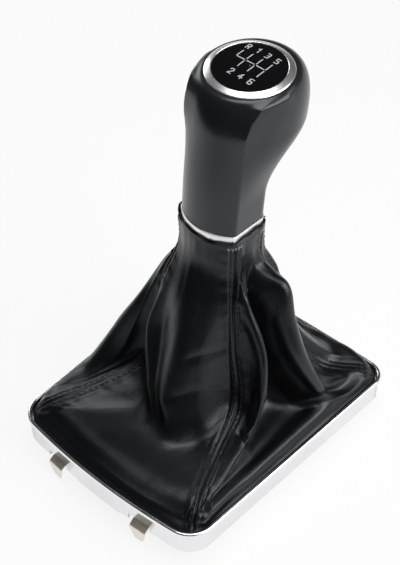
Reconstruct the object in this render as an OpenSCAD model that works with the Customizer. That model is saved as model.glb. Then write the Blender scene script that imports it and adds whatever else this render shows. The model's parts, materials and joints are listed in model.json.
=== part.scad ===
// Gear shift knob with its leather gaiter and plated console frame.
// Millimetres. +X is the car's right, +Y its front, +Z up.
// The origin is under the middle of the frame, at the tips of its spring clips.

/* [Frame] */
// Width of the leather window at its rear edge
window_rear_w = 115; // [100:1:130]
// Width of the leather window at its front edge
window_front_w = 126; // [105:1:140]
// Length of the leather window along its sides
window_len = 143; // [120:1:170]
// Outward bow of the rear edge
rear_bow = 4.3; // [1:0.1:8]
// Outward bow of the front edge
front_bow = 1.2; // [0.5:0.1:5]
// Corner radius of the window at the rear
rear_corner_r = 12; // [8:0.5:16]
// Corner radius of the window at the front
front_corner_r = 9; // [6:0.5:14]
// Width of the plated lip seen around the leather
lip_w = 2.1; // [1.6:0.1:4]
// Height of the rounded lip
lip_h = 2.6; // [2:0.1:4]
// Height of the frame from the lip's top to the skirt's edge
frame_h = 14; // [12:0.5:20]
// Wall of the skirt under the lip
skirt_wall = 1.5; // [1.2:0.1:2]
// How far the skirt's outside stands back under the lip
skirt_inset = 0.8; // [0.4:0.1:1.2]
// Extra depth of the locating edge at the middle of the rear skirt
locating_drop = 1.2; // [0.5:0.1:2]
// Half the length of that locating edge
locating_half = 14; // [8:1:20]

/* [Spring clips] */
// Distance of each clip from the middle plane
clip_x = 28; // [20:1:36]
// Width of a clip's strip
clip_w = 9.5; // [7:0.5:12]
// Thickness of the strip
clip_t = 0.7; // [0.5:0.1:1]
// How far the barb stands out from the skirt
clip_barb = 3; // [2:0.1:4]
// How far the tongue hangs below the skirt
clip_drop = 8; // [5:0.5:10]
// Width of the tongue at its tip
clip_tip_w = 4.6; // [3:0.1:6]
// Height of the notch in the skirt for a clip
notch_h = 4.2; // [3.5:0.1:5]
// Free width of the notch beside the clip
notch_side = 3; // [1:0.5:4]

/* [Retainer] */
// Wall of the retainer that grips the leather's hem
retainer_wall = 1.8; // [1.4:0.1:2.4]
// Width of the retainer's flat flange
retainer_flange = 6; // [4:0.5:9]
// Thickness of that flange
retainer_flange_t = 1.8; // [1.4:0.1:2.4]
// Length of a snap pad on the retainer
pad_len = 9; // [6:0.5:14]

/* [Leather] */
// Thickness of the leather
leather_t = 1.2; // [0.9:0.1:1.4]
// Depth of the hem tucked behind the lip
hem_depth = 5; // [4:0.5:6]
// Gap at a seam between two panels' solids
seam_gap = 0.3; // [0.2:0.1:0.6]
// How far the leather stands out around the collar
neck_out = 1.3; // [0.9:0.1:2]

/* [Knob] */
// Height of the collar's middle above the top of the lip
collar_height = 102.8; // [90:1:115]
// Sideways place of the collar from the middle plane
collar_x = -4; // [-8:1:8]
// Fore and aft place of the collar from the window's middle
collar_y = 17.3; // [5:0.1:25]
// Lean of the knob towards the right, in degrees
lean = 3.7; // [0:0.1:8]
// Width of the grip
grip_w = 32.8; // [30:0.1:36]
// Depth of the grip from front to rear
grip_d = 33.9; // [31:0.1:37]
// Bow of the grip's rear and front faces
grip_bow = 6.9; // [5:0.1:8]
// Radius of the grip's rear edges
grip_rear_r = 2.6; // [2:0.1:5]
// Radius of the grip's front edges
grip_front_r = 6; // [4:0.1:7]
// Width of the head
head_w = 50; // [46:0.5:56]
// Depth of the head from front to rear
head_d = 56; // [50:0.5:62]
// How far the head's middle stands forward of the grip's middle
head_forward = 11.9; // [8:0.1:14]
// Height of the head's widest level above the collar's middle
head_level = 53; // [46:0.5:58]
// Height at which the grip starts to widen into the head
flare_start = 15; // [8:0.5:22]
// Height of the face's middle above the collar's middle
face_height = 75.3; // [72:0.1:82]
// How far the face's middle stands forward of the grip's middle
face_forward = 10.4; // [8:0.1:12]
// Tilt of the face towards the driver, in degrees
face_tilt = 6.6; // [2:0.1:10]

/* [Face and collar trim] */
// Outside radius of the plated ring around the face
ring_r = 19.6; // [18:0.1:20]
// Radius of the glossy cap with the shift pattern
cap_r = 16.3; // [15:0.1:17]
// Height of the ring's bevel
ring_bevel = 1.2; // [0.6:0.1:1.6]
// Rise of the cap's dome
cap_rise = 0.7; // [0.3:0.1:1.2]
// Height of the plated collar
collar_h = 4; // [3:0.1:5]
// Width of the collar's flat ring
collar_depth = 3.4; // [2.8:0.1:3.8]

/* [Lever fitting] */
// Radius of the bore for the shift lever
lever_r = 6; // [5:0.1:7]
// Wall of the sleeve around the bore
sleeve_wall = 3; // [2.4:0.1:3.4]
// Reach of the sleeve below the collar's middle
sleeve_below = 24; // [18:1:30]
// Depth of the bore above the collar's middle
bore_above = 48; // [36:1:50]
// Length of the four slots in the sleeve's lower end
slot_len = 12; // [8:1:15]
// Width of a slot
slot_w = 1.6; // [1:0.1:2]
// Width of the clamp's band
clamp_w = 7; // [5:0.5:9]
// Thickness of the clamp's band
clamp_t = 0.8; // [0.6:0.1:1.2]

/* [Neck fitting] */
// Height of the plastic neck ring under the collar
neck_h = 13; // [10:0.5:16]
// Gap between the neck ring and the leather, filled by the tie and the turned edge
neck_gap = 1.3; // [1:0.1:1.8]
// Wall of the neck ring's spigot
spigot_wall = 1.6; // [1.2:0.1:1.8]
// Height of the spigot inside the grip
spigot_h = 6; // [4:0.5:9]
// Height of the tie around the neck
tie_h = 3.6; // [2.5:0.1:4.5]
// Thickness of the tie
tie_t = 1; // [0.8:0.1:1.1]

/* [Hidden] */
$fn = 64;
eps = 0.01;
smallest_corner = 1;
fit = 0.1;         // clearance of parts pushed into each other
slack = 0.3;       // clearance between the leather and what it touches

// Plan shapes
// A plan shape is a closed loop, bowed at the front and the rear, with four round corners.
// It is given as [rear width, front width, side length, rear bow, front bow, rear r, front r].
window_shape = [window_rear_w, window_front_w, window_len, rear_bow, front_bow,
                rear_corner_r, front_corner_r];
grip_shape = [grip_w, grip_w, grip_d - 2 * grip_bow, grip_bow, grip_bow,
              grip_rear_r, grip_front_r];

function bow_radius(width, bow) = (pow(width / 2, 2) + bow * bow) / (2 * bow);
// Centre of a corner of radius r that touches the side line and the bowed end.
function corner_centre(start, along, out, r, end_centre, end_r, side) =
    let (a = start - out * r - end_centre,
         b = a * along,
         root = sqrt(b * b - a * a + pow(end_r - r, 2)))
    start - out * r + along * (-b + side * root);
// Centres and radii of the loop that runs outside a plan shape by grow (inside if negative)
function loop_data(shape, grow = 0) =
    let (half_len = shape[2] / 2,
         run = [(shape[1] - shape[0]) / 2, shape[2]],
         along = run / norm(run),
         out = [along[1], -along[0]],
         start = [shape[0] / 2, -half_len] + out * grow,
         rear_r = bow_radius(shape[0], shape[3]),
         front_r = bow_radius(shape[1], shape[4]),
         rear_c = [0, -half_len - shape[3] + rear_r],
         front_c = [0, half_len + shape[4] - front_r],
         rear_kr = max(smallest_corner, shape[5] + grow),
         front_kr = max(smallest_corner, shape[6] + grow),
         rear_k = corner_centre(start, along, out, rear_kr, rear_c, rear_r + grow, -1),
         front_k = corner_centre(start, along, out, front_kr, front_c, front_r + grow, 1))
    [front_c, front_r + grow, front_k, front_kr, rear_k, rear_kr, rear_c, rear_r + grow, out];
function on_circle(centre, r, angle) = centre + r * [cos(angle), sin(angle)];
function mix(a, b, t) = a + (b - a) * t;
function bearing(v) = atan2(v[1], v[0]);
// Point of the right half of a loop: s runs from 0 at the front middle to 5 at the rear middle.
function half_point(d, s) =
    let (seg = min(4, floor(s)), t = s - seg,
         front_a = bearing(d[2] - d[0]), side_a = bearing(d[8]), rear_a = bearing(d[4] - d[6]))
    seg == 0 ? on_circle(d[0], d[1], mix(90, front_a, t)) :
    seg == 1 ? on_circle(d[2], d[3], mix(front_a, side_a, t)) :
    seg == 2 ? mix(d[2] + d[8] * d[3], d[4] + d[8] * d[5], t) :
    seg == 3 ? on_circle(d[4], d[5], mix(side_a, rear_a, t)) :
               on_circle(d[6], d[7], mix(rear_a, -90, t));
// Point of the whole loop: s runs from 0 to 10, clockwise seen from above.
function loop_point(d, s) =
    s <= 5 ? half_point(d, s) : let (p = half_point(d, 10 - s)) [-p[0], p[1]];
// Places around a loop, with a number of steps for each of its five half segments.
function half_places(steps) = [for (i = [0:4]) for (k = [0:steps[i] - 1]) i + k / steps[i]];
function loop_places(steps) =
    let (h = half_places(steps))
    concat(h, [5], [for (i = [len(h) - 1:-1:1]) 10 - h[i]]);
function loop_outline(shape, places, grow = 0) =
    let (d = loop_data(shape, grow)) [for (s = places) loop_point(d, s)];

window_loop = loop_data(window_shape);
window_places = loop_places([5, 6, 4, 6, 7]);
grip_places = loop_places([5, 5, 5, 5, 6]);

// Levels of the frame, from the tips of the clips
skirt_z = clip_drop;
lip_z = skirt_z + frame_h;
skirt_out = lip_w - skirt_inset;
skirt_in = skirt_out - skirt_wall;
hem_out = skirt_in - slack;
hem_in = hem_out - leather_t;
hem_z = lip_z - hem_depth;
lip_under = 2.2;        // depth of the skirt's inner face below the lip's top
retainer_out = hem_in - slack;
retainer_in = retainer_out - retainer_wall;
retainer_z = skirt_z + 1;
retainer_top = lip_z - 1.5;
notch_top = skirt_z + notch_h;

// The clips turn about the centre of the bowed edge that they stand on
rear_centre_y = window_loop[6][1];
rear_arc_r = window_loop[7];
front_centre_y = window_loop[0][1];
front_arc_r = window_loop[1];
rear_clip_a = asin(clip_x / rear_arc_r);
front_clip_a = asin(clip_x / front_arc_r);
function clip_reach(r, angle) =
    (r + skirt_out + clip_barb) * cos(angle) + clip_w / 2 * sin(angle);
rear_reach = clip_reach(rear_arc_r, rear_clip_a) - rear_centre_y;
front_reach = clip_reach(front_arc_r, front_clip_a) + front_centre_y;
shift_y = (rear_reach - front_reach) / 2;

// Places of the knob
collar_z = lip_z + collar_height;
grip_bottom = collar_h / 2;
cap_clear = 0.1;
ring_in = cap_r + cap_clear;
rim_drop = ring_bevel + 0.3;   // depth of the grip's rim below the face
ring_seat = 2.4;       // depth of the seat for the ring in the grip's top
ring_skirt = 3.2;      // depth of the ring's skirt below its seat
ring_skirt_t = 1.2;
cap_t = 2;
sleeve_r = lever_r + sleeve_wall;
sleeve_flange_t = 2.4;
collar_proud = 0.35;   // how far the collar stands out of the grip
// The neck ring's spigot passes through the collar into the grip.
spigot_out = -collar_depth;
spigot_in = spigot_out - spigot_wall;
spigot_half = grip_w / 2 + spigot_in;
neck_ring_out = neck_out - leather_t - neck_gap;
groove_d = 0.6;        // depth of the groove for the tie
tie_z = -grip_bottom - neck_h / 2 - tie_h / 2;

module in_frame() {
    translate([0, shift_y, 0]) children();
}
module in_knob() {
    translate([collar_x, collar_y + shift_y, collar_z]) rotate([0, lean, 0]) children();
}
module on_face() {
    translate([0, face_forward, face_height]) rotate([face_tilt, 0, 0]) children();
}

// Closed skin through rings of points that all have the same number of points.
// The rings run upwards and their points run clockwise seen from above.
module skin(rings) {
    n = len(rings[0]);
    m = len(rings);
    points = [for (r = rings) for (p = r) p];
    walls = [for (k = [0:m - 2]) for (i = [0:n - 1])
        let (j = (i + 1) % n, a = k * n + i, b = k * n + j, c = b + n, d = a + n)
        each [[a, d, b], [b, d, c]]];
    caps = [[for (i = [0:n - 1]) i], [for (i = [n - 1:-1:0]) (m - 1) * n + i]];
    polyhedron(points, concat(walls, caps), convexity = 6);
}
// Ring swept around a loop: each section is a closed list of [outward, height] points.
module swept_ring(sections) {
    n = len(sections);
    m = len(sections[0]);
    points = [for (s = sections) for (p = s) p];
    faces = [for (i = [0:n - 1]) for (k = [0:m - 1])
        let (j = (i + 1) % n, l = (k + 1) % m,
             a = i * m + k, b = i * m + l, c = j * m + l, d = j * m + k)
        each [[a, b, d], [b, c, d]]];
    polyhedron(points, faces, convexity = 8);
}
module plate(shape, places, grow, height) {
    linear_extrude(height) polygon(loop_outline(shape, places, grow));
}
module band(shape, places, outside, inside, height) {
    linear_extrude(height) difference() {
        polygon(loop_outline(shape, places, outside));
        polygon(loop_outline(shape, places, inside));
    }
}

// Frame
function skirt_edge(p) = p[1] < 0 && abs(p[0]) < locating_half ? skirt_z - locating_drop : skirt_z;
// The lip is a rounded bead on top of the skirt.
lip_section = [[0, -1.1], [0.25, -0.35], [0.8, 0], [lip_w - 0.8, 0], [lip_w - 0.25, -0.35],
               [lip_w, -1], [lip_w, -lip_h], [skirt_out, -lip_h]];
skirt_section = [[skirt_out, 0], [skirt_in, 0], [skirt_in, -lip_under]];
lip_loops = [for (p = concat(lip_section, skirt_section)) loop_data(window_shape, p[0])];
function trim_section(s) =
    let (edge = skirt_edge(loop_point(window_loop, s)),
         heights = concat([for (p = lip_section) lip_z + p[1]], [edge, edge, lip_z - lip_under]))
    [for (k = [0:len(heights) - 1])
        let (q = loop_point(lip_loops[k], s)) [q[0], q[1], heights[k]]];

module at_rear_clip(side) {
    translate([0, rear_centre_y, 0]) rotate(side * rear_clip_a) translate([0, -rear_arc_r, 0])
        children();
}
module at_front_clip(side) {
    translate([0, front_centre_y, 0]) rotate(180 - side * front_clip_a)
        translate([0, -front_arc_r, 0]) children();
}
module clip_notch() {
    translate([-clip_w / 2 - notch_side, -lip_w - 1, skirt_z - 1])
        cube([clip_w + notch_side + 4 * fit, lip_w + 4, notch_h + 1]);
}
module surround_trim() {
    color("gainsboro") in_frame() difference() {
        swept_ring([for (s = window_places) trim_section(s)]);
        for (side = [-1, 1]) {
            at_rear_clip(side) clip_notch();
            at_front_clip(side) clip_notch();
        }
    }
}

// The retainer grips the hem from inside and carries snap pads that bear on the skirt.
pad_places = [0.05, 2.2, 2.8, 4.95, 7.2, 7.8];
pad_h = hem_z - retainer_z - 0.6;
module snap_pad(s) {
    p = loop_point(loop_data(window_shape, retainer_out), s);
    q = loop_point(loop_data(window_shape, skirt_in), s);
    translate([p[0], p[1], retainer_z]) rotate(bearing(q - p)) translate([-0.6, -pad_len / 2, 0])
        cube([norm(q - p) + 0.6 - fit / 2, pad_len, pad_h]);
}
module retainer_frame() {
    color("dimgray") in_frame() {
        translate([0, 0, retainer_z + retainer_flange_t])
            band(window_shape, window_places, retainer_out, retainer_in,
                 retainer_top - retainer_z - retainer_flange_t);
        translate([0, 0, retainer_z])
            band(window_shape, window_places, retainer_out, retainer_in - retainer_flange,
                 retainer_flange_t);
        for (s = pad_places) snap_pad(s);
    }
}

// A clip is one bent strip: a leg behind the skirt, a barb through the notch and a tongue.
module clip_profile() {
    leg = -skirt_in + fit;
    barb = -skirt_out - clip_barb;
    tongue = barb + 0.9;
    low = notch_top - 0.2;
    leg_top = hem_z - 0.5;
    polygon([[leg, leg_top], [leg, low - 0.2], [barb, skirt_z + 0.8], [tongue, 0],
             [tongue + clip_t, 0], [barb + clip_t + 0.2, skirt_z + 0.35],
             [leg + clip_t, low - clip_t - 0.35], [leg + clip_t, leg_top]]);
}
module clip_outline() {
    half = clip_w / 2;
    tip = clip_tip_w / 2;
    polygon([[-half, lip_z], [-half, skirt_z - 0.4], [-tip, 0], [tip, 0],
             [half, skirt_z - 0.4], [half, lip_z]]);
}
module spring_clip() {
    intersection() {
        rotate([90, 0, 90]) translate([0, 0, -clip_w / 2]) linear_extrude(clip_w) clip_profile();
        translate([0, 3 * lip_w, 0]) rotate([90, 0, 0]) linear_extrude(8 * lip_w) clip_outline();
    }
}
module spring_clip_rear_left() { color("silver") in_frame() at_rear_clip(-1) spring_clip(); }
module spring_clip_rear_right() { color("silver") in_frame() at_rear_clip(1) spring_clip(); }
module spring_clip_front_left() { color("silver") in_frame() at_front_clip(-1) spring_clip(); }
module spring_clip_front_right() { color("silver") in_frame() at_front_clip(1) spring_clip(); }

// Gaiter
// The leather hangs from the neck to the window along rails. A rail is given by its place
// around the loops and by six stations going down. A station is [out, up, swing]:
// out runs from 0 at the neck to 1 at the window, up from 1 to 0, and swing moves the rail
// sideways by a share of its plan length.
RAILS = [
    // front panel
    [0.0, [[0, 0.83, 0], [0.10, 0.70, 0], [0.21, 0.48, 0],
           [0.37, 0.27, 0], [0.64, 0.11, 0], [0.90, 0.07, 0]]],
    [0.8, [[0, 0.83, 0], [0.12, 0.70, -0.01], [0.23, 0.48, -0.01],
           [0.39, 0.27, -0.02], [0.67, 0.10, 0], [0.91, 0.07, 0]]],
    [1.5, [[0, 0.83, 0], [0.08, 0.71, 0], [0.16, 0.50, -0.01],
           [0.28, 0.27, -0.02], [0.55, 0.09, -0.01], [0.87, 0.06, -0.02]]],
    // right panel: low ridge to the front corner, front fold, deep hollow, roll
    [1.95, [[0, 0.83, 0], [0.12, 0.72, -0.01], [0.23, 0.52, -0.06],
            [0.34, 0.30, -0.09], [0.55, 0.10, -0.08], [0.83, 0.07, -0.03]]],
    [2.08, [[0.02, 0.83, 0], [0.25, 0.73, -0.06], [0.36, 0.56, -0.17],
            [0.47, 0.38, -0.21], [0.60, 0.18, -0.20], [0.78, 0.07, -0.10]]],
    [2.23, [[0.03, 0.82, -0.01], [0.33, 0.74, -0.07], [0.44, 0.56, -0.18],
            [0.61, 0.38, -0.22], [0.79, 0.19, -0.11], [0.89, 0.06, 0.02]]],
    [2.35, [[0.01, 0.83, -0.01], [0.10, 0.71, -0.11], [0.20, 0.51, -0.15],
            [0.35, 0.28, -0.12], [0.56, 0.08, -0.03], [0.84, 0.05, 0]]],
    [2.62, [[0, 0.83, 0], [0.07, 0.70, -0.01], [0.12, 0.50, -0.01], [0.20, 0.28, 0.01],
            [0.42, 0.06, 0.05], [0.85, 0.05, 0]]],
    [2.85, [[0, 0.83, 0], [0.04, 0.69, 0.02], [0.13, 0.47, 0.10], [0.32, 0.20, 0.11],
            [0.62, 0.07, 0.04], [0.86, 0.05, 0]]],
    [3.15, [[0, 0.83, 0.01], [0.08, 0.69, 0.08], [0.21, 0.46, 0.20],
            [0.36, 0.17, 0.20], [0.61, 0.10, 0.09], [0.90, 0.06, -0.01]]],
    // rear right seam
    [3.5, [[0, 0.83, 0], [0.06, 0.67, 0.01], [0.11, 0.43, 0.03], [0.22, 0.16, 0.08],
           [0.52, 0.09, 0.03], [0.86, 0.07, 0]]],
    // rear panel: tent between the seams, with a foot that turns out into the flat apron
    [4.1, [[0, 0.83, 0], [0.07, 0.65, 0.01], [0.13, 0.43, 0.03], [0.25, 0.18, 0.07],
           [0.50, 0.08, 0.06], [0.89, 0.07, 0.04]]],
    [4.5, [[0, 0.83, 0], [0.10, 0.65, 0], [0.23, 0.43, 0.03], [0.35, 0.22, 0.07],
           [0.49, 0.07, 0.13], [0.92, 0.07, 0.04]]],
    [5.0, [[0.01, 0.83, 0], [0.14, 0.65, 0.02], [0.29, 0.43, 0.05], [0.44, 0.22, 0.08],
           [0.56, 0.07, 0.20], [0.92, 0.07, 0.04]]],
    [5.5, [[0.01, 0.83, 0], [0.12, 0.65, 0], [0.20, 0.43, 0.02], [0.34, 0.23, 0.12],
           [0.51, 0.07, 0.28], [0.89, 0.07, 0.09]]],
    [5.8, [[0.01, 0.83, 0], [0.13, 0.65, 0.01], [0.26, 0.43, 0.01], [0.36, 0.20, 0.15],
           [0.49, 0.07, 0.32], [0.88, 0.07, 0.06]]],
    [6.1, [[0.01, 0.83, 0], [0.12, 0.65, 0.02], [0.17, 0.43, 0.06], [0.28, 0.21, 0.11],
           [0.43, 0.08, 0.24], [0.88, 0.07, 0.05]]],
    // rear left seam
    [6.5, [[0.01, 0.83, 0], [0.12, 0.65, 0.02], [0.14, 0.43, 0.06],
           [0.27, 0.20, 0.07], [0.58, 0.12, 0.07], [0.88, 0.08, 0.05]]],
    // left panel: rear hollow, straight ridge, plain side
    [6.95, [[0.01, 0.83, 0], [0.13, 0.66, -0.01], [0.26, 0.43, -0.01],
            [0.40, 0.18, -0.01], [0.65, 0.09, 0.01], [0.90, 0.07, 0]]],
    [7.28, [[0.02, 0.83, 0], [0.21, 0.68, -0.05], [0.45, 0.50, 0.01], [0.70, 0.31, 0.03],
            [0.88, 0.14, 0.01], [0.95, 0.07, 0]]],
    [7.65, [[0.02, 0.83, 0], [0.25, 0.68, 0], [0.43, 0.49, 0], [0.62, 0.31, 0],
            [0.83, 0.14, 0], [0.94, 0.07, 0]]],
    // front left corner
    [8.5, [[0, 0.83, 0], [0.12, 0.70, 0], [0.28, 0.48, 0], [0.49, 0.27, 0],
           [0.75, 0.13, 0], [0.92, 0.08, 0]]],
    [9.3, [[0, 0.83, 0], [0.08, 0.70, 0.01], [0.19, 0.48, 0.02], [0.37, 0.25, 0.02],
           [0.66, 0.10, 0.01], [0.90, 0.07, 0]]]
];
SEAMS = [1.5, 3.5, 6.5, 8.5];      // front right, rear right, rear left, front left
GAITER_ROWS = 22;
SEAM_STEP = 0.05;
neck_edge_z = collar_z - grip_bottom - slack;
edge_z = lip_z - 1.6;

// Smooth curve through values at uneven places, with finite difference slopes
function hermite(p0, p1, m0, m1, t) =
    let (t2 = t * t, t3 = t2 * t)
    p0 * (2 * t3 - 3 * t2 + 1) + m0 * (t3 - 2 * t2 + t) + p1 * (3 * t2 - 2 * t3) + m1 * (t3 - t2);
// A rail's stations with its two ends
function rail_stations(rail) = concat([[0, 1, 0]], rail[1], [[1, 0, 0]]);
function rail_at(stations, t) =
    let (n = len(stations) - 1, x = t * n, k = min(n - 1, floor(x)),
         a = stations[max(0, k - 1)], b = stations[k], c = stations[k + 1],
         d = stations[min(n, k + 2)])
    hermite(b, c, (c - a) / (k == 0 ? 1 : 2), (d - b) / (k == n - 1 ? 1 : 2), x - k);
stations = [for (r = RAILS) rail_stations(r)];
rail_count = len(RAILS);
function rail_place(i) =
    RAILS[(i + rail_count) % rail_count][0] + (i < 0 ? -10 : i >= rail_count ? 10 : 0);
// Index of the last rail at or before a place
function rail_before(s, i = 0) =
    i + 1 < rail_count && RAILS[i + 1][0] <= s ? rail_before(s, i + 1) : i;
// Station values at a place around the gaiter, from the row of all rails at one level
function around(row, s) =
    let (i = rail_before(s),
         s0 = rail_place(i - 1), s1 = rail_place(i), s2 = rail_place(i + 1),
         s3 = rail_place(i + 2), gap = s2 - s1,
         a = row[(i + rail_count - 1) % rail_count], b = row[i],
         c = row[(i + 1) % rail_count], d = row[(i + 2) % rail_count])
    hermite(b, c, (c - a) / (s2 - s0) * gap, (d - b) / (s3 - s1) * gap, (s - s1) / gap);

neck_middle = [collar_x - tan(lean) * grip_bottom, collar_y];
neck_loop = loop_data(grip_shape, neck_out);
hem_loop = loop_data(window_shape, hem_out);
function neck_point(s) = neck_middle + loop_point(neck_loop, s);
function leather_point(row, s) =
    let (v = around(row, s),
         top = neck_point(s), foot = loop_point(hem_loop, s),
         run = foot - top, plan = top + run * v[0] + [-run[1], run[0]] * v[2],
         lean_z = -tan(lean) * (top[0] - neck_middle[0]) * v[1])
    [plan[0], plan[1], mix(edge_z, neck_edge_z, v[1]) + lean_z];
function hem_point(s) = let (p = loop_point(hem_loop, s)) [p[0], p[1], hem_z];
row_values = [for (k = [0:GAITER_ROWS]) [for (st = stations) rail_at(st, k / GAITER_ROWS)]];

// Point of the leather's outer face at a row and a place, the last row being the hem's edge
function grid_point(r, s) =
    let (place = s >= 10 ? s - 10 : s)
    r <= GAITER_ROWS ? leather_point(row_values[r], place) : hem_point(place);
// Outward direction of the leather, looked at over a stretch h on both sides of a place.
// It is level in the top row and in the tucked rows, so that these are one thickness deep.
function leather_normal(r, s, h) =
    let (across = grid_point(r, s + h) - grid_point(r, s - h),
         down = grid_point(min(GAITER_ROWS + 1, r + 1), s) - grid_point(max(0, r - 1), s),
         n = cross(across, down),
         level = r == 0 || r >= GAITER_ROWS,
         m = level ? [n[0], n[1], 0] : n)
    m / norm(m);
// A panel's edge stands back from the seam by half the seam's gap.
function beside(seam, next) = seam + (next - seam) / norm(next - seam) * seam_gap / 2;

// One panel: its outer face from seam to seam, and its inner face one thickness inside
module leather_panel(first, last, steps) {
    step = (last - first) / steps;
    rows = GAITER_ROWS + 1;
    raw = [for (r = [0:rows]) [for (c = [0:steps]) grid_point(r, first + c * step)]];
    outer = [for (r = raw) [for (c = [0:steps])
        c == 0 ? beside(r[0], r[1]) : c == steps ? beside(r[c], r[c - 1]) : r[c]]];
    inner = [for (r = [0:rows]) [for (c = [0:steps])
        let (at_seam = c == 0 || c == steps)
        outer[r][c] - leather_t * leather_normal(r, first + c * step, at_seam ? SEAM_STEP : step)]];
    w = steps + 1;
    size = (rows + 1) * w;
    points = concat([for (r = inner) for (p = r) p], [for (r = outer) for (p = r) p]);
    faces = concat(
        [for (r = [0:rows - 1]) for (c = [0:steps - 1])
            let (a = r * w + c, b = a + 1, d = a + w, e = d + 1)
            each [[a, b, d], [b, e, d]]],
        [for (r = [0:rows - 1]) for (c = [0:steps - 1])
            let (a = size + r * w + c, b = a + 1, d = a + w, e = d + 1)
            each [[a, d, b], [b, d, e]]],
        [for (c = [0:steps - 1]) let (a = c, b = c + 1)
            each [[a, a + size, b], [b, a + size, b + size]]],
        [for (c = [0:steps - 1]) let (a = rows * w + c, b = a + 1)
            each [[a, b, a + size], [b, b + size, a + size]]],
        [for (r = [0:rows - 1]) let (a = r * w, b = a + w)
            each [[a, b, a + size], [b, b + size, a + size]]],
        [for (r = [0:rows - 1]) let (a = r * w + steps, b = a + w)
            each [[a, a + size, b], [b, a + size, b + size]]]);
    polyhedron(points, faces, convexity = 10);
}
module rear_panel() { color("#202224") in_frame() leather_panel(SEAMS[1], SEAMS[2], 28); }
module right_panel() { color("#1c1e20") in_frame() leather_panel(SEAMS[0], SEAMS[1], 30); }
module front_panel() { color("#242628") in_frame() leather_panel(SEAMS[3], SEAMS[0] + 10, 20); }
module left_panel() { color("#1e2022") in_frame() leather_panel(SEAMS[2], SEAMS[3], 22); }

// Knob
// The grip's outline grows into the head and closes in on the ring's seat.
KNOB_ROWS = 24;
crown_start = head_level + 3;
crown_power = 2.2;
face_rim = ring_r - 0.15;
function ease(t) = let (x = max(0, min(1, t))) x * x * (3 - 2 * x);
function head_radius(angle) =
    1 / sqrt(pow(cos(angle) / (head_w / 2), 2) + pow(sin(angle) / (head_d / 2), 2));
grip_outline = loop_outline(grip_shape, grip_places);
head_bearings = [for (p = grip_outline) bearing(p - [0, head_forward])];
head_outline = [for (a = head_bearings) on_circle([0, head_forward], head_radius(a), a)];
rim_outline = [for (a = head_bearings) on_circle([0, face_forward], face_rim, a)];
rim_z = face_height - rim_drop / cos(face_tilt);
function knob_ring(z) =
    let (flare = ease((z - flare_start) / (head_level - flare_start)),
         k = max(0, (z - crown_start) / (rim_z - crown_start)),
         crown = 1 - pow(max(0, 1 - pow(k, crown_power)), 1 / crown_power),
         tip = tan(face_tilt) * ease((z - flare_start) / (rim_z - flare_start)))
    [for (i = [0:len(grip_outline) - 1])
        let (p = mix(mix(grip_outline[i], head_outline[i], flare), rim_outline[i], crown))
        [p[0], p[1], z + tip * (p[1] - face_forward * flare)]];
// Levels crowd together towards the crown, where the skin turns quickly.
function knob_level(k) =
    let (low = 9, t = k / KNOB_ROWS)
    k <= low ? mix(grip_bottom, flare_start + 22, k / low)
             : let (x = (k - low) / (KNOB_ROWS - low)) mix(flare_start + 22, rim_z, sin(90 * x));
module grip_shell() {
    pocket_top = bore_above + 7;
    color("#3c3f41") in_knob() difference() {
        skin([for (k = [0:KNOB_ROWS]) knob_ring(knob_level(k))]);
        on_face() translate([0, 0, -ring_seat]) cylinder(r = ring_r - 0.6, h = 8);
        on_face() translate([0, 0, -ring_seat - ring_skirt - fit])
            cylinder(r = ring_r - 1.6, h = 8);
        translate([0, 0, grip_bottom - 1]) cylinder(r = sleeve_r + fit, h = pocket_top);
        translate([0, 0, grip_bottom - 1])
            plate(grip_shape, grip_places, spigot_out + fit, spigot_h + 1 + fit);
    }
}

module collar_trim() {
    color("whitesmoke") in_knob() translate([0, 0, -grip_bottom + eps])
        band(grip_shape, grip_places, collar_proud, spigot_out + fit, collar_h - 2 * eps);
}

module top_ring() {
    color("gainsboro") in_knob() on_face() rotate_extrude() polygon([
        [ring_in, -0.2], [ring_in + 0.35, 0.05],
        [ring_r - 0.25, -ring_bevel + 0.15], [ring_r, -ring_bevel - 0.1],
        [ring_r, -rim_drop + fit], [ring_r - 0.7, -rim_drop + fit],
        [ring_r - 0.7, -ring_seat + fit],
        [ring_r - 1.7, -ring_seat + fit], [ring_r - 1.7, -ring_seat - ring_skirt],
        [ring_r - 1.7 - ring_skirt_t, -ring_seat - ring_skirt], [ring_in, -cap_t - 0.6]]);
}

// The cap is a shallow dome on three legs that snap behind the ring.
module pattern_cap() {
    dome_r = (cap_r * cap_r + cap_rise * cap_rise) / (2 * cap_rise);
    color("#0c0c0e") in_knob() on_face() {
        intersection() {
            translate([0, 0, -cap_t]) cylinder(r = cap_r, h = cap_t + cap_rise);
            translate([0, 0, -0.3 + cap_rise - dome_r]) sphere(r = dome_r, $fn = 256);
        }
        for (a = [30:120:270]) rotate(a) translate([cap_r - 4.4, -2, -cap_t - 2.6])
            cube([1.4, 4, 2.6 + eps]);
    }
}

// The sleeve takes the lever's end in a blind bore, and its slotted end is clamped.
module lever_sleeve() {
    color("#2b2b2d") in_knob() difference() {
        union() {
            translate([0, 0, -sleeve_below])
                cylinder(r = sleeve_r, h = sleeve_below + bore_above + 4);
            translate([0, 0, grip_bottom + spigot_h - sleeve_flange_t])
                cylinder(r = spigot_half - 2 * fit, h = sleeve_flange_t);
        }
        translate([0, 0, -sleeve_below - 1]) cylinder(r = lever_r, h = sleeve_below + bore_above + 1);
        for (a = [45, 135]) rotate(a) translate([-slot_w / 2, -sleeve_r - 1, -sleeve_below - 1])
            cube([slot_w, 2 * sleeve_r + 2, slot_len + 1]);
    }
}

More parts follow.
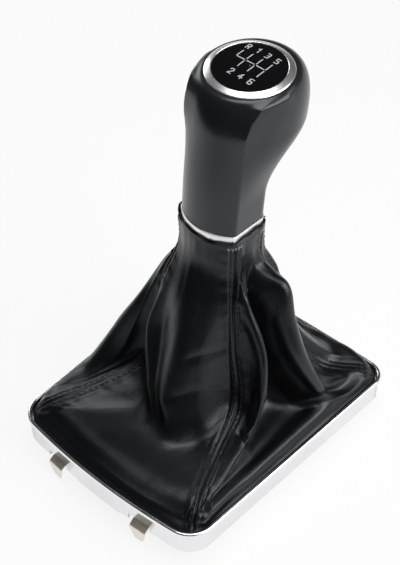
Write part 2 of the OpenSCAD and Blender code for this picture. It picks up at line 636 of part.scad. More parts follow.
module lever_clamp() {
    band_r = sleeve_r + 0.05;
    ear_w = 7;
    ear_h = 3.6;
    color("silver") in_knob() translate([0, 0, -sleeve_below + 1.5]) {
        difference() {
            union() {
                cylinder(r = band_r + clamp_t, h = clamp_w);
                translate([-ear_w / 2, 0, 0]) cube([ear_w, band_r + clamp_t + ear_h, clamp_w]);
            }
            translate([0, 0, -1]) cylinder(r = band_r, h = clamp_w + 2);
            translate([-ear_w / 2 + clamp_t, 0, -1])
                cube([ear_w - 2 * clamp_t, band_r + ear_h, clamp_w + 2]);
        }
    }
}

// The neck ring plugs into the grip through the collar and spreads the leather's neck.
module neck_ring() {
    color("#29292b") in_knob() difference() {
        union() {
            translate([0, 0, -grip_bottom - neck_h])
                plate(grip_shape, grip_places, neck_ring_out, neck_h - eps);
            translate([0, 0, -grip_bottom - eps])
                plate(grip_shape, grip_places, spigot_out, spigot_h + collar_h);
        }
        translate([0, 0, -grip_bottom - neck_h - 1])
            plate(grip_shape, grip_places, spigot_in, neck_h + collar_h + spigot_h + 2);
        // groove for the tie
        translate([0, 0, tie_z - fit])
            band(grip_shape, grip_places, 1, neck_ring_out - groove_d, tie_h + 2 * fit);
    }
}
module neck_tie() {
    color("black") in_knob() translate([0, 0, tie_z])
        band(grip_shape, grip_places, neck_ring_out - groove_d + fit + tie_t,
             neck_ring_out - groove_d + fit, tie_h);
}

surround_trim();
retainer_frame();
spring_clip_rear_left();
spring_clip_rear_right();
spring_clip_front_left();
spring_clip_front_right();
rear_panel();
right_panel();
front_panel();
left_panel();
grip_shell();
collar_trim();
top_ring();
pattern_cap();
lever_sleeve();
lever_clamp();
neck_ring();
neck_tie();
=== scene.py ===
# Looks of a gear shift knob with its folded leather gaiter and plated console frame.
# Lengths in this script are millimetres, turned into metres where a mesh is made.
import json
import math

import bpy
import numpy as np
from mathutils import Matrix, Vector, noise

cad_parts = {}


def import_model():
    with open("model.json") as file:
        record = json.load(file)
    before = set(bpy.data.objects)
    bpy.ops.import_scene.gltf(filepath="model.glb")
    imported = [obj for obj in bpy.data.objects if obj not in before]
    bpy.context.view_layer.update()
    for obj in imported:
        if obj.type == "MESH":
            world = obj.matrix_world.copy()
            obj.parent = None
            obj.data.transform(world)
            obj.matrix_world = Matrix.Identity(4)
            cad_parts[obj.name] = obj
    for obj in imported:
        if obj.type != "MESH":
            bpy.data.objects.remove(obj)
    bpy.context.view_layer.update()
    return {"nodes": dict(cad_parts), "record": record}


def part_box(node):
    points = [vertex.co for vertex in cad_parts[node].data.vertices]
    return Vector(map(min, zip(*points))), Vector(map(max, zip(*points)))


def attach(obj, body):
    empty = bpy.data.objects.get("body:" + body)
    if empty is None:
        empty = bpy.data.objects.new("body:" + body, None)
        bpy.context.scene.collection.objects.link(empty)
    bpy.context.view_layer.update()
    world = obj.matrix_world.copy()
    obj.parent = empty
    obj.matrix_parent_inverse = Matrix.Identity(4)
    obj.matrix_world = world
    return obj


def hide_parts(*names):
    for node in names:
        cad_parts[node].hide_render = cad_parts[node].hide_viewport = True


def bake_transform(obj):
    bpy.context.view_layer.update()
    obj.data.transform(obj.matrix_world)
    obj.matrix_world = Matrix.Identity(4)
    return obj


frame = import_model()
MM = 0.001

# Sizes, the same as the solids'
# A plan shape: rear width, front width, side length, rear bow, front bow, rear and front corner r
WINDOW_SHAPE = (115.0, 126.0, 143.0, 4.3, 1.2, 12.0, 9.0)
GRIP_BOW = 6.9
GRIP_W, GRIP_D = 32.8, 33.9
GRIP_SHAPE = (GRIP_W, GRIP_W, GRIP_D - 2 * GRIP_BOW, GRIP_BOW, GRIP_BOW, 2.6, 6.0)
SMALLEST_CORNER = 1.0
LIP_W, LIP_H = 2.1, 2.6
SKIRT_OUT, SKIRT_IN = 1.3, -0.2
HEM_OUT = -0.5
NECK_OUT = 1.3
LOCATING_DROP, LOCATING_HALF = 1.2, 14.0
CLIP_X, CLIP_W, CLIP_T, CLIP_BARB, CLIP_TIP_W = 28.0, 9.5, 0.7, 3.0, 4.6
NOTCH_H, NOTCH_SIDE = 4.2, 3.0
COLLAR_H = 4.0
HEAD_W, HEAD_D, HEAD_FORWARD, HEAD_LEVEL = 50.0, 56.0, 11.9, 53.0
FLARE_START = 15.0
FACE_HEIGHT, FACE_FORWARD, FACE_TILT = 75.3, 10.4, 6.6
RING_R, CAP_R, RING_BEVEL, CAP_RISE = 19.6, 16.3, 1.2, 0.7

# Places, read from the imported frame
trim_low, trim_high = (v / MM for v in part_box("surround_trim"))
SHIFT_Y = trim_low.y + WINDOW_SHAPE[2] / 2 + WINDOW_SHAPE[3] + LIP_W
LIP_Z = trim_high.z
SKIRT_Z = trim_low.z + LOCATING_DROP
HEM_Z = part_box("rear_panel")[0].z / MM
bore = next(m for m in frame["record"]["mounts"] if m["name"] == "lever_bore")
BORE_POINT_UP = 12.0     # height of the bore mount's point above the collar's middle
KNOB_UP = -Vector(bore["axis"]).normalized()
COLLAR = Vector(bore["pos_m"]) / MM - KNOB_UP * BORE_POINT_UP
LEAN = math.atan2(KNOB_UP.x, KNOB_UP.z)
TO_KNOB = Matrix.Translation(COLLAR) @ Matrix.Rotation(LEAN, 4, "Y")
TO_FACE = (TO_KNOB @ Matrix.Translation((0, FACE_FORWARD, FACE_HEIGHT))
           @ Matrix.Rotation(math.radians(FACE_TILT), 4, "X"))
NECK_EDGE_Z = COLLAR.z - COLLAR_H / 2 - 0.3
EDGE_Z = LIP_Z - 1.6


# Plan shapes: closed loops bowed at the front and the rear, with four round corners
def bow_radius(width, bow):
    return ((width / 2) ** 2 + bow * bow) / (2 * bow)


def corner_centre(start, along, out, r, end_centre, end_r, side):
    a = start - out * r - end_centre
    b = a @ along
    root = math.sqrt(b * b - a @ a + (end_r - r) ** 2)
    return start - out * r + along * (-b + side * root)


def loop_data(shape, grow=0.0):
    """Centres and radii of the loop that runs outside a plan shape by grow."""
    rear_w, front_w, length, rear_bow, front_bow, rear_corner, front_corner = shape
    run = np.array([(front_w - rear_w) / 2, length])
    along = run / np.linalg.norm(run)
    out = np.array([along[1], -along[0]])
    start = np.array([rear_w / 2, -length / 2]) + out * grow
    rear_r, front_r = bow_radius(rear_w, rear_bow) + grow, bow_radius(front_w, front_bow) + grow
    rear_c = np.array([0, -length / 2 - rear_bow + rear_r - grow])
    front_c = np.array([0, length / 2 + front_bow - front_r + grow])
    rear_kr = max(SMALLEST_CORNER, rear_corner + grow)
    front_kr = max(SMALLEST_CORNER, front_corner + grow)
    rear_k = corner_centre(start, along, out, rear_kr, rear_c, rear_r, -1)
    front_k = corner_centre(start, along, out, front_kr, front_c, front_r, 1)
    return front_c, front_r, front_k, front_kr, rear_k, rear_kr, rear_c, rear_r, out


def on_circle(centre, r, angle):
    return centre + r * np.array([math.cos(angle), math.sin(angle)])


def mix(a, b, t):
    return a + (b - a) * t


def bearing(v):
    return math.atan2(v[1], v[0])


def half_point(d, s):
    """Point of a loop's right half: s runs from 0 at the front middle to 5 at the rear middle."""
    seg = min(4, int(s))
    t = s - seg
    front_a, side_a, rear_a = bearing(d[2] - d[0]), bearing(d[8]), bearing(d[4] - d[6])
    if seg == 0:
        return on_circle(d[0], d[1], mix(math.pi / 2, front_a, t))
    if seg == 1:
        return on_circle(d[2], d[3], mix(front_a, side_a, t))
    if seg == 2:
        return mix(d[2] + d[8] * d[3], d[4] + d[8] * d[5], t)
    if seg == 3:
        return on_circle(d[4], d[5], mix(side_a, rear_a, t))
    return on_circle(d[6], d[7], mix(rear_a, -math.pi / 2, t))


def loop_points(shape, places, grow=0.0):
    """Points of a whole loop at places s from 0 to 10, clockwise seen from above."""
    d = loop_data(shape, grow)
    points = [half_point(d, min(s, 10 - s)) * ((1 if s <= 5 else -1), 1) for s in places]
    return np.array(points)


def loop_places(steps):
    """Places with a number of steps for each of the five half segments, on both halves."""
    half = [i + k / n for i, n in enumerate(steps) for k in range(n)]
    return np.array(half + [5.0] + [10 - s for s in half[:0:-1]])


# Mesh helpers
def new_object(name, points, faces, smooth=True, matrix=None):
    """A mesh object from points in millimetres, placed by a matrix in millimetres."""
    points = np.asarray(points, float).reshape(-1, 3)
    if matrix is not None:
        m = np.array(matrix, float)
        points = points @ m[:3, :3].T + m[:3, 3]
    mesh = bpy.data.meshes.new(name)
    mesh.from_pydata((points * MM).tolist(), [], [list(map(int, f)) for f in faces])
    mesh.validate()
    mesh.polygons.foreach_set("use_smooth", [smooth] * len(mesh.polygons))
    mesh.update()
    obj = bpy.data.objects.new(name, mesh)
    bpy.context.scene.collection.objects.link(obj)
    return obj


def grid_faces(rows, cols, closed_rows=False, closed_cols=False, flip=False):
    """Quads of a grid of points, closed around its rows or its columns if asked."""
    faces = []
    for r in range(rows if closed_rows else rows - 1):
        for c in range(cols if closed_cols else cols - 1):
            q = (r % rows * cols + c, r % rows * cols + (c + 1) % cols,
                 (r + 1) % rows * cols + (c + 1) % cols, (r + 1) % rows * cols + c)
            faces.append(q[::-1] if flip else q)
    return faces


def round_profile(points, radius, steps=4):
    """A closed outline with each corner turned into an arc of at most that radius."""
    points = [np.array(p, float) for p in points]
    result = []
    for i, p in enumerate(points):
        a, b = points[i - 1] - p, points[(i + 1) % len(points)] - p
        la, lb = np.linalg.norm(a), np.linalg.norm(b)
        cut = min(radius, 0.45 * la, 0.45 * lb)
        start, end = p + a / la * cut, p + b / lb * cut
        for k in range(steps + 1):
            t = k / steps
            result.append((1 - t) ** 2 * start + 2 * t * (1 - t) * p + t * t * end)
    return result


def lathe(name, profile, steps=160, matrix=None):
    """A closed profile of [radius, height] turned about Z."""
    angles = np.arange(steps) * 2 * math.pi / steps
    points = [(r * math.cos(a), r * math.sin(a), z) for a in angles for r, z in profile]
    faces = grid_faces(steps, len(profile), closed_rows=True, closed_cols=True)
    return new_object(name, points, faces, matrix=matrix)


# Materials
COOL = (0.90, 0.97, 1.0, 1)      # the dark surfaces' reflections look slightly blue


def add_node(tree, kind, inputs=None, **settings):
    """A new node with settings, and with values for its inputs by name or number."""
    node = tree.nodes.new("ShaderNode" + kind)
    for setting, value in settings.items():
        setattr(node, setting, value)
    for socket, value in (inputs or {}).items():
        node.inputs[socket].default_value = value
    return node


def new_material(name, color, roughness, metallic=0.0, specular=0.5):
    material = bpy.data.materials.new(name)
    material.use_nodes = True
    shader = material.node_tree.nodes["Principled BSDF"]
    shader.inputs["Base Color"].default_value = (*color, 1)
    shader.inputs["Roughness"].default_value = roughness
    shader.inputs["Metallic"].default_value = metallic
    shader.inputs["Specular IOR Level"].default_value = specular
    return material, shader


def noise_node(material, scale, detail=3.0, roughness=0.5):
    """Noise in the object's own coordinates, with a scale in features per metre."""
    tree = material.node_tree
    coordinates = add_node(tree, "TexCoord")
    texture = add_node(tree, "TexNoise",
                       {"Scale": scale, "Detail": detail, "Roughness": roughness})
    tree.links.new(coordinates.outputs["Object"], texture.inputs["Vector"])
    return texture


def add_bump(material, shader, sources, distance):
    """Chains bump nodes: each source is an output socket and a strength."""
    tree = material.node_tree
    normal = None
    for socket, strength in sources:
        bump = add_node(tree, "Bump", {"Strength": strength, "Distance": distance})
        tree.links.new(socket, bump.inputs["Height"])
        if normal is not None:
            tree.links.new(normal, bump.inputs["Normal"])
        normal = bump.outputs["Normal"]
    tree.links.new(normal, shader.inputs["Normal"])


def vary(material, socket, low, high, target):
    """Maps a noise to a range and feeds it to a shader socket."""
    tree = material.node_tree
    ramp = add_node(tree, "MapRange", {"From Min": 0.3, "From Max": 0.7,
                                       "To Min": low, "To Max": high})
    tree.links.new(socket, ramp.inputs["Value"])
    tree.links.new(ramp.outputs["Result"], target)


def color_between(material, socket, dark, light, target):
    """Turns a noise into colours between two, and feeds them to a shader socket."""
    tree = material.node_tree
    ramp = add_node(tree, "ValToRGB")
    for element, position, color in zip(ramp.color_ramp.elements, (0.35, 0.65), (dark, light)):
        element.position = position
        element.color = (*color, 1)
    tree.links.new(socket, ramp.inputs["Fac"])
    tree.links.new(ramp.outputs["Color"], target)


def leather_material():
    material, shader = new_material("leather", (0.0038, 0.0041, 0.0047), 0.31, specular=0.48)
    shader.inputs["Specular Tint"].default_value = COOL
    tree = material.node_tree
    coordinates = add_node(tree, "TexCoord")
    cells = add_node(tree, "TexVoronoi", {"Scale": 1100}, feature="DISTANCE_TO_EDGE")
    tree.links.new(coordinates.outputs["Object"], cells.inputs["Vector"])
    valleys = add_node(tree, "MapRange", {"From Max": 0.25})
    tree.links.new(cells.outputs["Distance"], valleys.inputs["Value"])
    soft = noise_node(material, 160, detail=4, roughness=0.6)
    broad = noise_node(material, 28, detail=2)
    color_between(material, broad.outputs["Fac"], (0.0031, 0.0034, 0.0039), (0.0045, 0.0049, 0.0056),
                  shader.inputs["Base Color"])
    vary(material, soft.outputs["Fac"], 0.28, 0.34, shader.inputs["Roughness"])
    add_bump(material, shader, [(soft.outputs["Fac"], 0.12), (valleys.outputs["Result"], 0.10)],
             0.0006)
    return material


def grip_material():
    material, shader = new_material("satin_grip", (0.013, 0.014, 0.0145), 0.24)
    shader.inputs["Specular Tint"].default_value = COOL
    fine = noise_node(material, 1800, detail=2)
    broad = noise_node(material, 30, detail=2)
    color_between(material, broad.outputs["Fac"], (0.011, 0.012, 0.0125), (0.015, 0.016, 0.0165),
                  shader.inputs["Base Color"])
    vary(material, broad.outputs["Fac"], 0.22, 0.26, shader.inputs["Roughness"])
    add_bump(material, shader, [(fine.outputs["Fac"], 0.12)], 0.0002)
    return material


def plated_material(name, color, low, high):
    material, shader = new_material(name, color, low, metallic=1.0)
    broad = noise_node(material, 45)
    fine = noise_node(material, 900, detail=2)
    vary(material, broad.outputs["Fac"], low, high, shader.inputs["Roughness"])
    add_bump(material, shader, [(fine.outputs["Fac"], 0.03)], 0.0002)
    return material


def plastic_material(name, color, roughness, grain):
    material, shader = new_material(name, color, roughness)
    fine = noise_node(material, grain)
    broad = noise_node(material, 60, detail=2)
    vary(material, broad.outputs["Fac"], roughness * 0.9, roughness * 1.12,
         shader.inputs["Roughness"])
    add_bump(material, shader, [(fine.outputs["Fac"], 0.2)], 0.0003)
    return material


def print_material():
    material, shader = new_material("pale_print", (0.50, 0.51, 0.53), 0.4)
    speckle = noise_node(material, 2500, detail=2)
    color_between(material, speckle.outputs["Fac"], (0.42, 0.43, 0.45), (0.56, 0.57, 0.59),
                  shader.inputs["Base Color"])
    return material


def thread_material(name, dark, light):
    material, shader = new_material(name, light, 0.55)
    twist = noise_node(material, 2600, detail=2)
    color_between(material, twist.outputs["Fac"], dark, light, shader.inputs["Base Color"])
    add_bump(material, shader, [(twist.outputs["Fac"], 0.4)], 0.0003)
    return material


LEATHER = leather_material()
GRIP_SKIN = grip_material()
PLATED = plated_material("plated_trim", (0.86, 0.865, 0.875), 0.16, 0.26)
BRIGHT = plated_material("bright_trim", (0.90, 0.90, 0.905), 0.26, 0.34)
SPRING_STEEL = plated_material("spring_steel", (0.88, 0.83, 0.74), 0.48, 0.58)
CLAMP_STEEL = plated_material("clamp_steel", (0.62, 0.62, 0.63), 0.30, 0.42)
HIDDEN_PLASTIC = plastic_material("hidden_plastic", (0.040, 0.040, 0.044), 0.55, 700)
GLOSS_FACE = plastic_material("pattern_face", (0.003, 0.003, 0.0035), 0.12, 300)
PRINT = print_material()
THREAD = thread_material("thread", (0.005, 0.005, 0.006), (0.012, 0.012, 0.013))
PALE_THREAD = thread_material("pale_thread", (0.20, 0.21, 0.22), (0.42, 0.43, 0.45))


def paint(obj, material):
    obj.data.materials.clear()
    obj.data.materials.append(material)
    return obj


def stand_for(obj, body, slot, *nodes):
    """obj moves with a body, and replaces the CAD nodes if any are named. slot is not used."""
    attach(obj, body)
    if nodes:
        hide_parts(*nodes)


# Gaiter
# The leather hangs from the neck to the window along rails. A rail is its place around the
# loops and six stations going down. A station is [out, up, swing]: out runs from 0 at the neck
# to 1 at the window, up from 1 to 0, and swing moves it sideways by a share of its plan length.
RAILS = [
    # front panel
    (0.0, [(0, 0.83, 0), (0.10, 0.70, 0), (0.21, 0.48, 0),
           (0.37, 0.27, 0), (0.64, 0.11, 0), (0.90, 0.07, 0)]),
    (0.8, [(0, 0.83, 0), (0.12, 0.70, -0.01), (0.23, 0.48, -0.01),
           (0.39, 0.27, -0.02), (0.67, 0.10, 0), (0.91, 0.07, 0)]),
    (1.5, [(0, 0.83, 0), (0.08, 0.71, 0), (0.16, 0.50, -0.01),
           (0.28, 0.27, -0.02), (0.55, 0.09, -0.01), (0.87, 0.06, -0.02)]),
    # right panel: low ridge to the front corner, front fold, deep hollow, roll
    (1.95, [(0, 0.83, 0), (0.12, 0.72, -0.01), (0.23, 0.52, -0.06),
            (0.34, 0.30, -0.09), (0.55, 0.10, -0.08), (0.83, 0.07, -0.03)]),
    (2.08, [(0.02, 0.83, 0), (0.25, 0.73, -0.06), (0.36, 0.56, -0.17),
            (0.47, 0.38, -0.21), (0.60, 0.18, -0.20), (0.78, 0.07, -0.10)]),
    (2.23, [(0.03, 0.82, -0.01), (0.33, 0.74, -0.07), (0.44, 0.56, -0.18),
            (0.61, 0.38, -0.22), (0.79, 0.19, -0.11), (0.89, 0.06, 0.02)]),
    (2.35, [(0.01, 0.83, -0.01), (0.10, 0.71, -0.11), (0.20, 0.51, -0.15),
            (0.35, 0.28, -0.12), (0.56, 0.08, -0.03), (0.84, 0.05, 0)]),
    (2.62, [(0, 0.83, 0), (0.07, 0.70, -0.01), (0.12, 0.50, -0.01), (0.20, 0.28, 0.01),
            (0.42, 0.06, 0.05), (0.85, 0.05, 0)]),
    (2.85, [(0, 0.83, 0), (0.04, 0.69, 0.02), (0.13, 0.47, 0.10), (0.32, 0.20, 0.11),
            (0.62, 0.07, 0.04), (0.86, 0.05, 0)]),
    (3.15, [(0, 0.83, 0.01), (0.08, 0.69, 0.08), (0.21, 0.46, 0.20),
            (0.36, 0.17, 0.20), (0.61, 0.10, 0.09), (0.90, 0.06, -0.01)]),
    # rear right seam
    (3.5, [(0, 0.83, 0), (0.06, 0.67, 0.01), (0.11, 0.43, 0.03), (0.22, 0.16, 0.08),
           (0.52, 0.09, 0.03), (0.86, 0.07, 0)]),
    # rear panel: tent between the seams, with a foot that turns out into the flat apron
    (4.1, [(0, 0.83, 0), (0.07, 0.65, 0.01), (0.13, 0.43, 0.03), (0.25, 0.18, 0.07),
           (0.50, 0.08, 0.06), (0.89, 0.07, 0.04)]),
    (4.5, [(0, 0.83, 0), (0.10, 0.65, 0), (0.23, 0.43, 0.03), (0.35, 0.22, 0.07),
           (0.49, 0.07, 0.13), (0.92, 0.07, 0.04)]),
    (5.0, [(0.01, 0.83, 0), (0.14, 0.65, 0.02), (0.29, 0.43, 0.05), (0.44, 0.22, 0.08),
           (0.56, 0.07, 0.20), (0.92, 0.07, 0.04)]),
    (5.5, [(0.01, 0.83, 0), (0.12, 0.65, 0), (0.20, 0.43, 0.02), (0.34, 0.23, 0.12),
           (0.51, 0.07, 0.28), (0.89, 0.07, 0.09)]),
    (5.8, [(0.01, 0.83, 0), (0.13, 0.65, 0.01), (0.26, 0.43, 0.01), (0.36, 0.20, 0.15),
           (0.49, 0.07, 0.32), (0.88, 0.07, 0.06)]),
    (6.1, [(0.01, 0.83, 0), (0.12, 0.65, 0.02), (0.17, 0.43, 0.06), (0.28, 0.21, 0.11),
           (0.43, 0.08, 0.24), (0.88, 0.07, 0.05)]),
    # rear left seam
    (6.5, [(0.01, 0.83, 0), (0.12, 0.65, 0.02), (0.14, 0.43, 0.06),
           (0.27, 0.20, 0.07), (0.58, 0.12, 0.07), (0.88, 0.08, 0.05)]),
    # left panel: rear hollow, straight ridge, plain side
    (6.95, [(0.01, 0.83, 0), (0.13, 0.66, -0.01), (0.26, 0.43, -0.01),
            (0.40, 0.18, -0.01), (0.65, 0.09, 0.01), (0.90, 0.07, 0)]),
    (7.28, [(0.02, 0.83, 0), (0.21, 0.68, -0.05), (0.45, 0.50, 0.01), (0.70, 0.31, 0.03),
            (0.88, 0.14, 0.01), (0.95, 0.07, 0)]),
    (7.65, [(0.02, 0.83, 0), (0.25, 0.68, 0), (0.43, 0.49, 0), (0.62, 0.31, 0),
            (0.83, 0.14, 0), (0.94, 0.07, 0)]),
    # front left corner
    (8.5, [(0, 0.83, 0), (0.12, 0.70, 0), (0.28, 0.48, 0), (0.49, 0.27, 0),
           (0.75, 0.13, 0), (0.92, 0.08, 0)]),
    (9.3, [(0, 0.83, 0), (0.08, 0.70, 0.01), (0.19, 0.48, 0.02), (0.37, 0.25, 0.02),
           (0.66, 0.10, 0.01), (0.90, 0.07, 0)]),
]
SEAMS = (1.5, 3.5, 6.5, 8.5)     # front right, rear right, rear left, front left


def hermite_weights(t, left, right):
    """Weights of four values a, b, c, d for a smooth curve from b to c.

    left and right scale the slopes c - a at b and d - b at c."""
    t2, t3 = t * t, t * t * t
    slope_b, slope_c = (t3 - 2 * t2 + t) * left, (t3 - t2) * right
    b, c = 2 * t3 - 3 * t2 + 1, 3 * t2 - 2 * t3
    return -slope_b, b - slope_c, c + slope_b, slope_c


def down_weights(t, count):
    """Weights of a rail's stations at a height t from 0 at the neck to 1 at the window."""
    n = count - 1
    k = min(n - 1, int(t * n))
    a, b, c, d = hermite_weights(t * n - k, 1 if k == 0 else 0.5, 1 if k == n - 1 else 0.5)
    row = np.zeros(count)
    for index, weight in ((max(0, k - 1), a), (k, b), (k + 1, c), (min(n, k + 2), d)):
        row[index] += weight
    return row


def around_weights(s):
    """Weights of the rails at a place around the gaiter."""
    count = len(RAILS)
    places = [r[0] for r in RAILS]
    i = max(k for k in range(count) if places[k] <= s)

    def place(k):
        return places[k % count] + 10 * (k // count)

    s0, s1, s2, s3 = (place(i + k) for k in (-1, 0, 1, 2))
    gap = s2 - s1
    weights = hermite_weights((s - s1) / gap, gap / (s2 - s0), gap / (s3 - s1))
    row = np.zeros(count)
    for k, weight in enumerate(weights):
        row[(i + k - 1) % count] += weight
    return row


STATIONS = np.array([[(0, 1, 0), *stations, (1, 0, 0)] for place, stations in RAILS], float)
neck_middle = np.array([COLLAR.x - math.tan(LEAN) * COLLAR_H / 2, COLLAR.y - SHIFT_Y])


def leather_grid(rows, places):
    """Plain outer face of the leather: rows going down of points going around."""
    down = np.array([down_weights(t, STATIONS.shape[1]) for t in rows])
    around = np.array([around_weights(s % 10) for s in places])
    v = np.einsum("rk,si,ikj->rsj", down, around, STATIONS)
    top = neck_middle + loop_points(GRIP_SHAPE, places, NECK_OUT)
    foot = loop_points(WINDOW_SHAPE, places, HEM_OUT)
    run = foot - top
    side = np.stack([-run[:, 1], run[:, 0]], axis=1)
    plan = top + run * v[..., :1] + side * v[..., 2:]
    z = mix(EDGE_Z, NECK_EDGE_Z, v[..., 1])
    z -= math.tan(LEAN) * (top[:, 0] - neck_middle[0]) * v[..., 1]
    return np.concatenate([plan, z[..., None]], axis=2) + (0, SHIFT_Y, 0)


def grid_normals(grid):
    """Outward normals of a grid whose rows go down and whose columns go around."""
    across = np.roll(grid, -1, axis=1) - np.roll(grid, 1, axis=1)
    n = np.cross(across, np.gradient(grid, axis=0))
    return n / np.linalg.norm(n, axis=2, keepdims=True)


def along_rows(grid):
    """Distance around each row from its first point, in millimetres."""
    steps = np.linalg.norm(np.diff(grid, axis=1, append=grid[:, :1]), axis=2)
    return np.cumsum(steps, axis=1) - steps, steps.sum(axis=1)


def seam_distances(grid, places):
    """Signed distance around each row to the nearest seam."""
    length, total = along_rows(grid)
    best = np.full(grid.shape[:2], 1e9)
    for seam in SEAMS:
        column = int(np.argmin(abs(places - seam)))
        d = length - length[:, column:column + 1]
        d = (d + total[:, None] / 2) % total[:, None] - total[:, None] / 2
        best = np.where(abs(d) < abs(best), d, best)
    return best


def noise_field(u, v, layer, octaves=3):
    """Smooth noise between about -1 and 1 at two arrays of coordinates."""
    values = [noise.fractal(Vector((a, b, layer)), 1.0, 2.0, octaves)
              for a, b in zip(u.ravel(), v.ravel())]
    return np.array(values).reshape(u.shape)


def bell(d, width):
    return np.exp(-(d / width) ** 2)


def band(d, height, middle, width):
    return height * bell(d - middle, width)


def smooth(x, low, high):
    t = np.clip((x - low) / (high - low), 0, 1)
    return t * t * (3 - 2 * t)


def dense_line(line, per_span):
    """A line of points with more points along each of its spans."""
    line = np.array(line, float)
    steps = np.linspace(0, len(line) - 1, per_span * (len(line) - 1) + 1)
    return np.column_stack([np.interp(steps, range(len(line)), column) for column in line.T])


def distance_to(curve, grid):
    """Distance of each grid point to a curve of points, and its place along it from 0 to 1."""
    flat = grid.reshape(-1, 3)
    best, where = np.full(len(flat), 1e9), np.zeros(len(flat))
    for i, p in enumerate(curve):
        d = ((flat - p) ** 2).sum(axis=1)
        closer = d < best
        best[closer] = d[closer]
        where[closer] = i / (len(curve) - 1)
    return np.sqrt(best).reshape(grid.shape[:2]), where.reshape(grid.shape[:2])


def crease_distance(grid, line):
    """Distance to a line given by [place around, height down] points, and the place along it."""
    curve = [leather_grid([t], np.array([s]))[0, 0] for s, t in dense_line(line, 24)]
    return distance_to(curve, grid)


# Folds on top of the rails: height, half width, whether the fold is sharp, and its line as
# points of [place around, height down]
CREASES = {
    "front fold's crest": (1.0, 7.0, False, [(2.2, 0.27), (2.2, 0.34), (2.18, 0.43), (2.2, 0.53),
                                             (2.2, 0.62), (2.22, 0.71), (2.23, 0.80)]),
    "beside the front fold": (-1.0, 6.5, True, [(2.27, 0.30), (2.28, 0.40), (2.28, 0.50),
                                                (2.27, 0.60), (2.26, 0.70), (2.26, 0.79)]),
    "roll's crest": (1.5, 6.0, False, [(3.0, 0.28), (3.05, 0.36), (3.12, 0.43), (3.15, 0.50),
                                       (3.1, 0.57), (3.0, 0.63)]),
    "inside the roll": (-0.9, 7.0, False, [(3.35, 0.37), (3.33, 0.43), (3.35, 0.50),
                                           (3.35, 0.57)]),
    "below the roll": (-1.5, 3.0, True, [(3.4, 0.63), (3.3, 0.64), (3.1, 0.635), (2.95, 0.64)]),
    "roll's foot": (2.0, 8.0, False, [(2.85, 0.72), (2.88, 0.76), (2.93, 0.80), (2.98, 0.86),
                                      (3.12, 0.91)]),
    "tent's crease": (-0.7, 5.0, True, [(4.88, 0.44), (4.48, 0.42), (4.03, 0.42)]),
    "tent's lower crease": (-0.5, 6.0, True, [(5.1, 0.57), (4.5, 0.53), (3.85, 0.53)]),
    "left panel's fold": (1.2, 14.0, False, [(7.75, 0.08), (7.8, 0.3), (7.9, 0.6), (8.05, 0.98)]),
    "left panel's hollow": (-1.0, 14.0, False, [(7.3, 0.1), (7.3, 0.4), (7.26, 0.7), (7.2, 0.98)]),
    "front panel's fold": (1.4, 12.0, False, [(9.55, 0.08), (9.6, 0.28), (9.75, 0.5), (9.8, 0.98)]),
    "front panel's hollow": (-1.1, 12.0, False, [(0.1, 0.1), (0.2, 0.40), (0.25, 0.98)]),
    "front panel's second fold": (1.1, 11.0, False, [(0.7, 0.1), (0.8, 0.34), (0.85, 0.98)]),
}

GAITER_STEPS = (46, 44, 110, 48, 48)
GAITER_ROWS = 144
SPLIT_ROW = 72
LEATHER_T = 0.9
STITCH_OFF = 2.5
# Wrinkles: heights of the noises, of the gathers and of the puckers beside the seams
BROAD_H, MIDDLE_H, FINE_H = 0.35, 0.05, 0.02
GATHERS, NECK_GATHER_H, GATHER_H = 23, 0.035, 0.012
PUCKER_H, PUCKER_PITCH = 0.09, 7.4
# Bands along the hem, each as height, distance from the hem and half width
RIGHT_WELT, RIGHT_GROOVE, REAR_GROOVE = (1.3, 6.5, 3.2), (-1.8, 14.5, 4.5), (-2.2, 8.5, 6.5)


def seam_profile(d):
    """Height of the leather beside a seam: a groove, a padded band and a sunk stitch line."""
    d = abs(d)
    return (-0.75 * bell(d, 0.55) + 0.45 * bell(d - 1.35, 0.8)
            - 0.35 * bell(d - STITCH_OFF, 0.45) + 0.35 * bell(d - 4.0, 1.3))


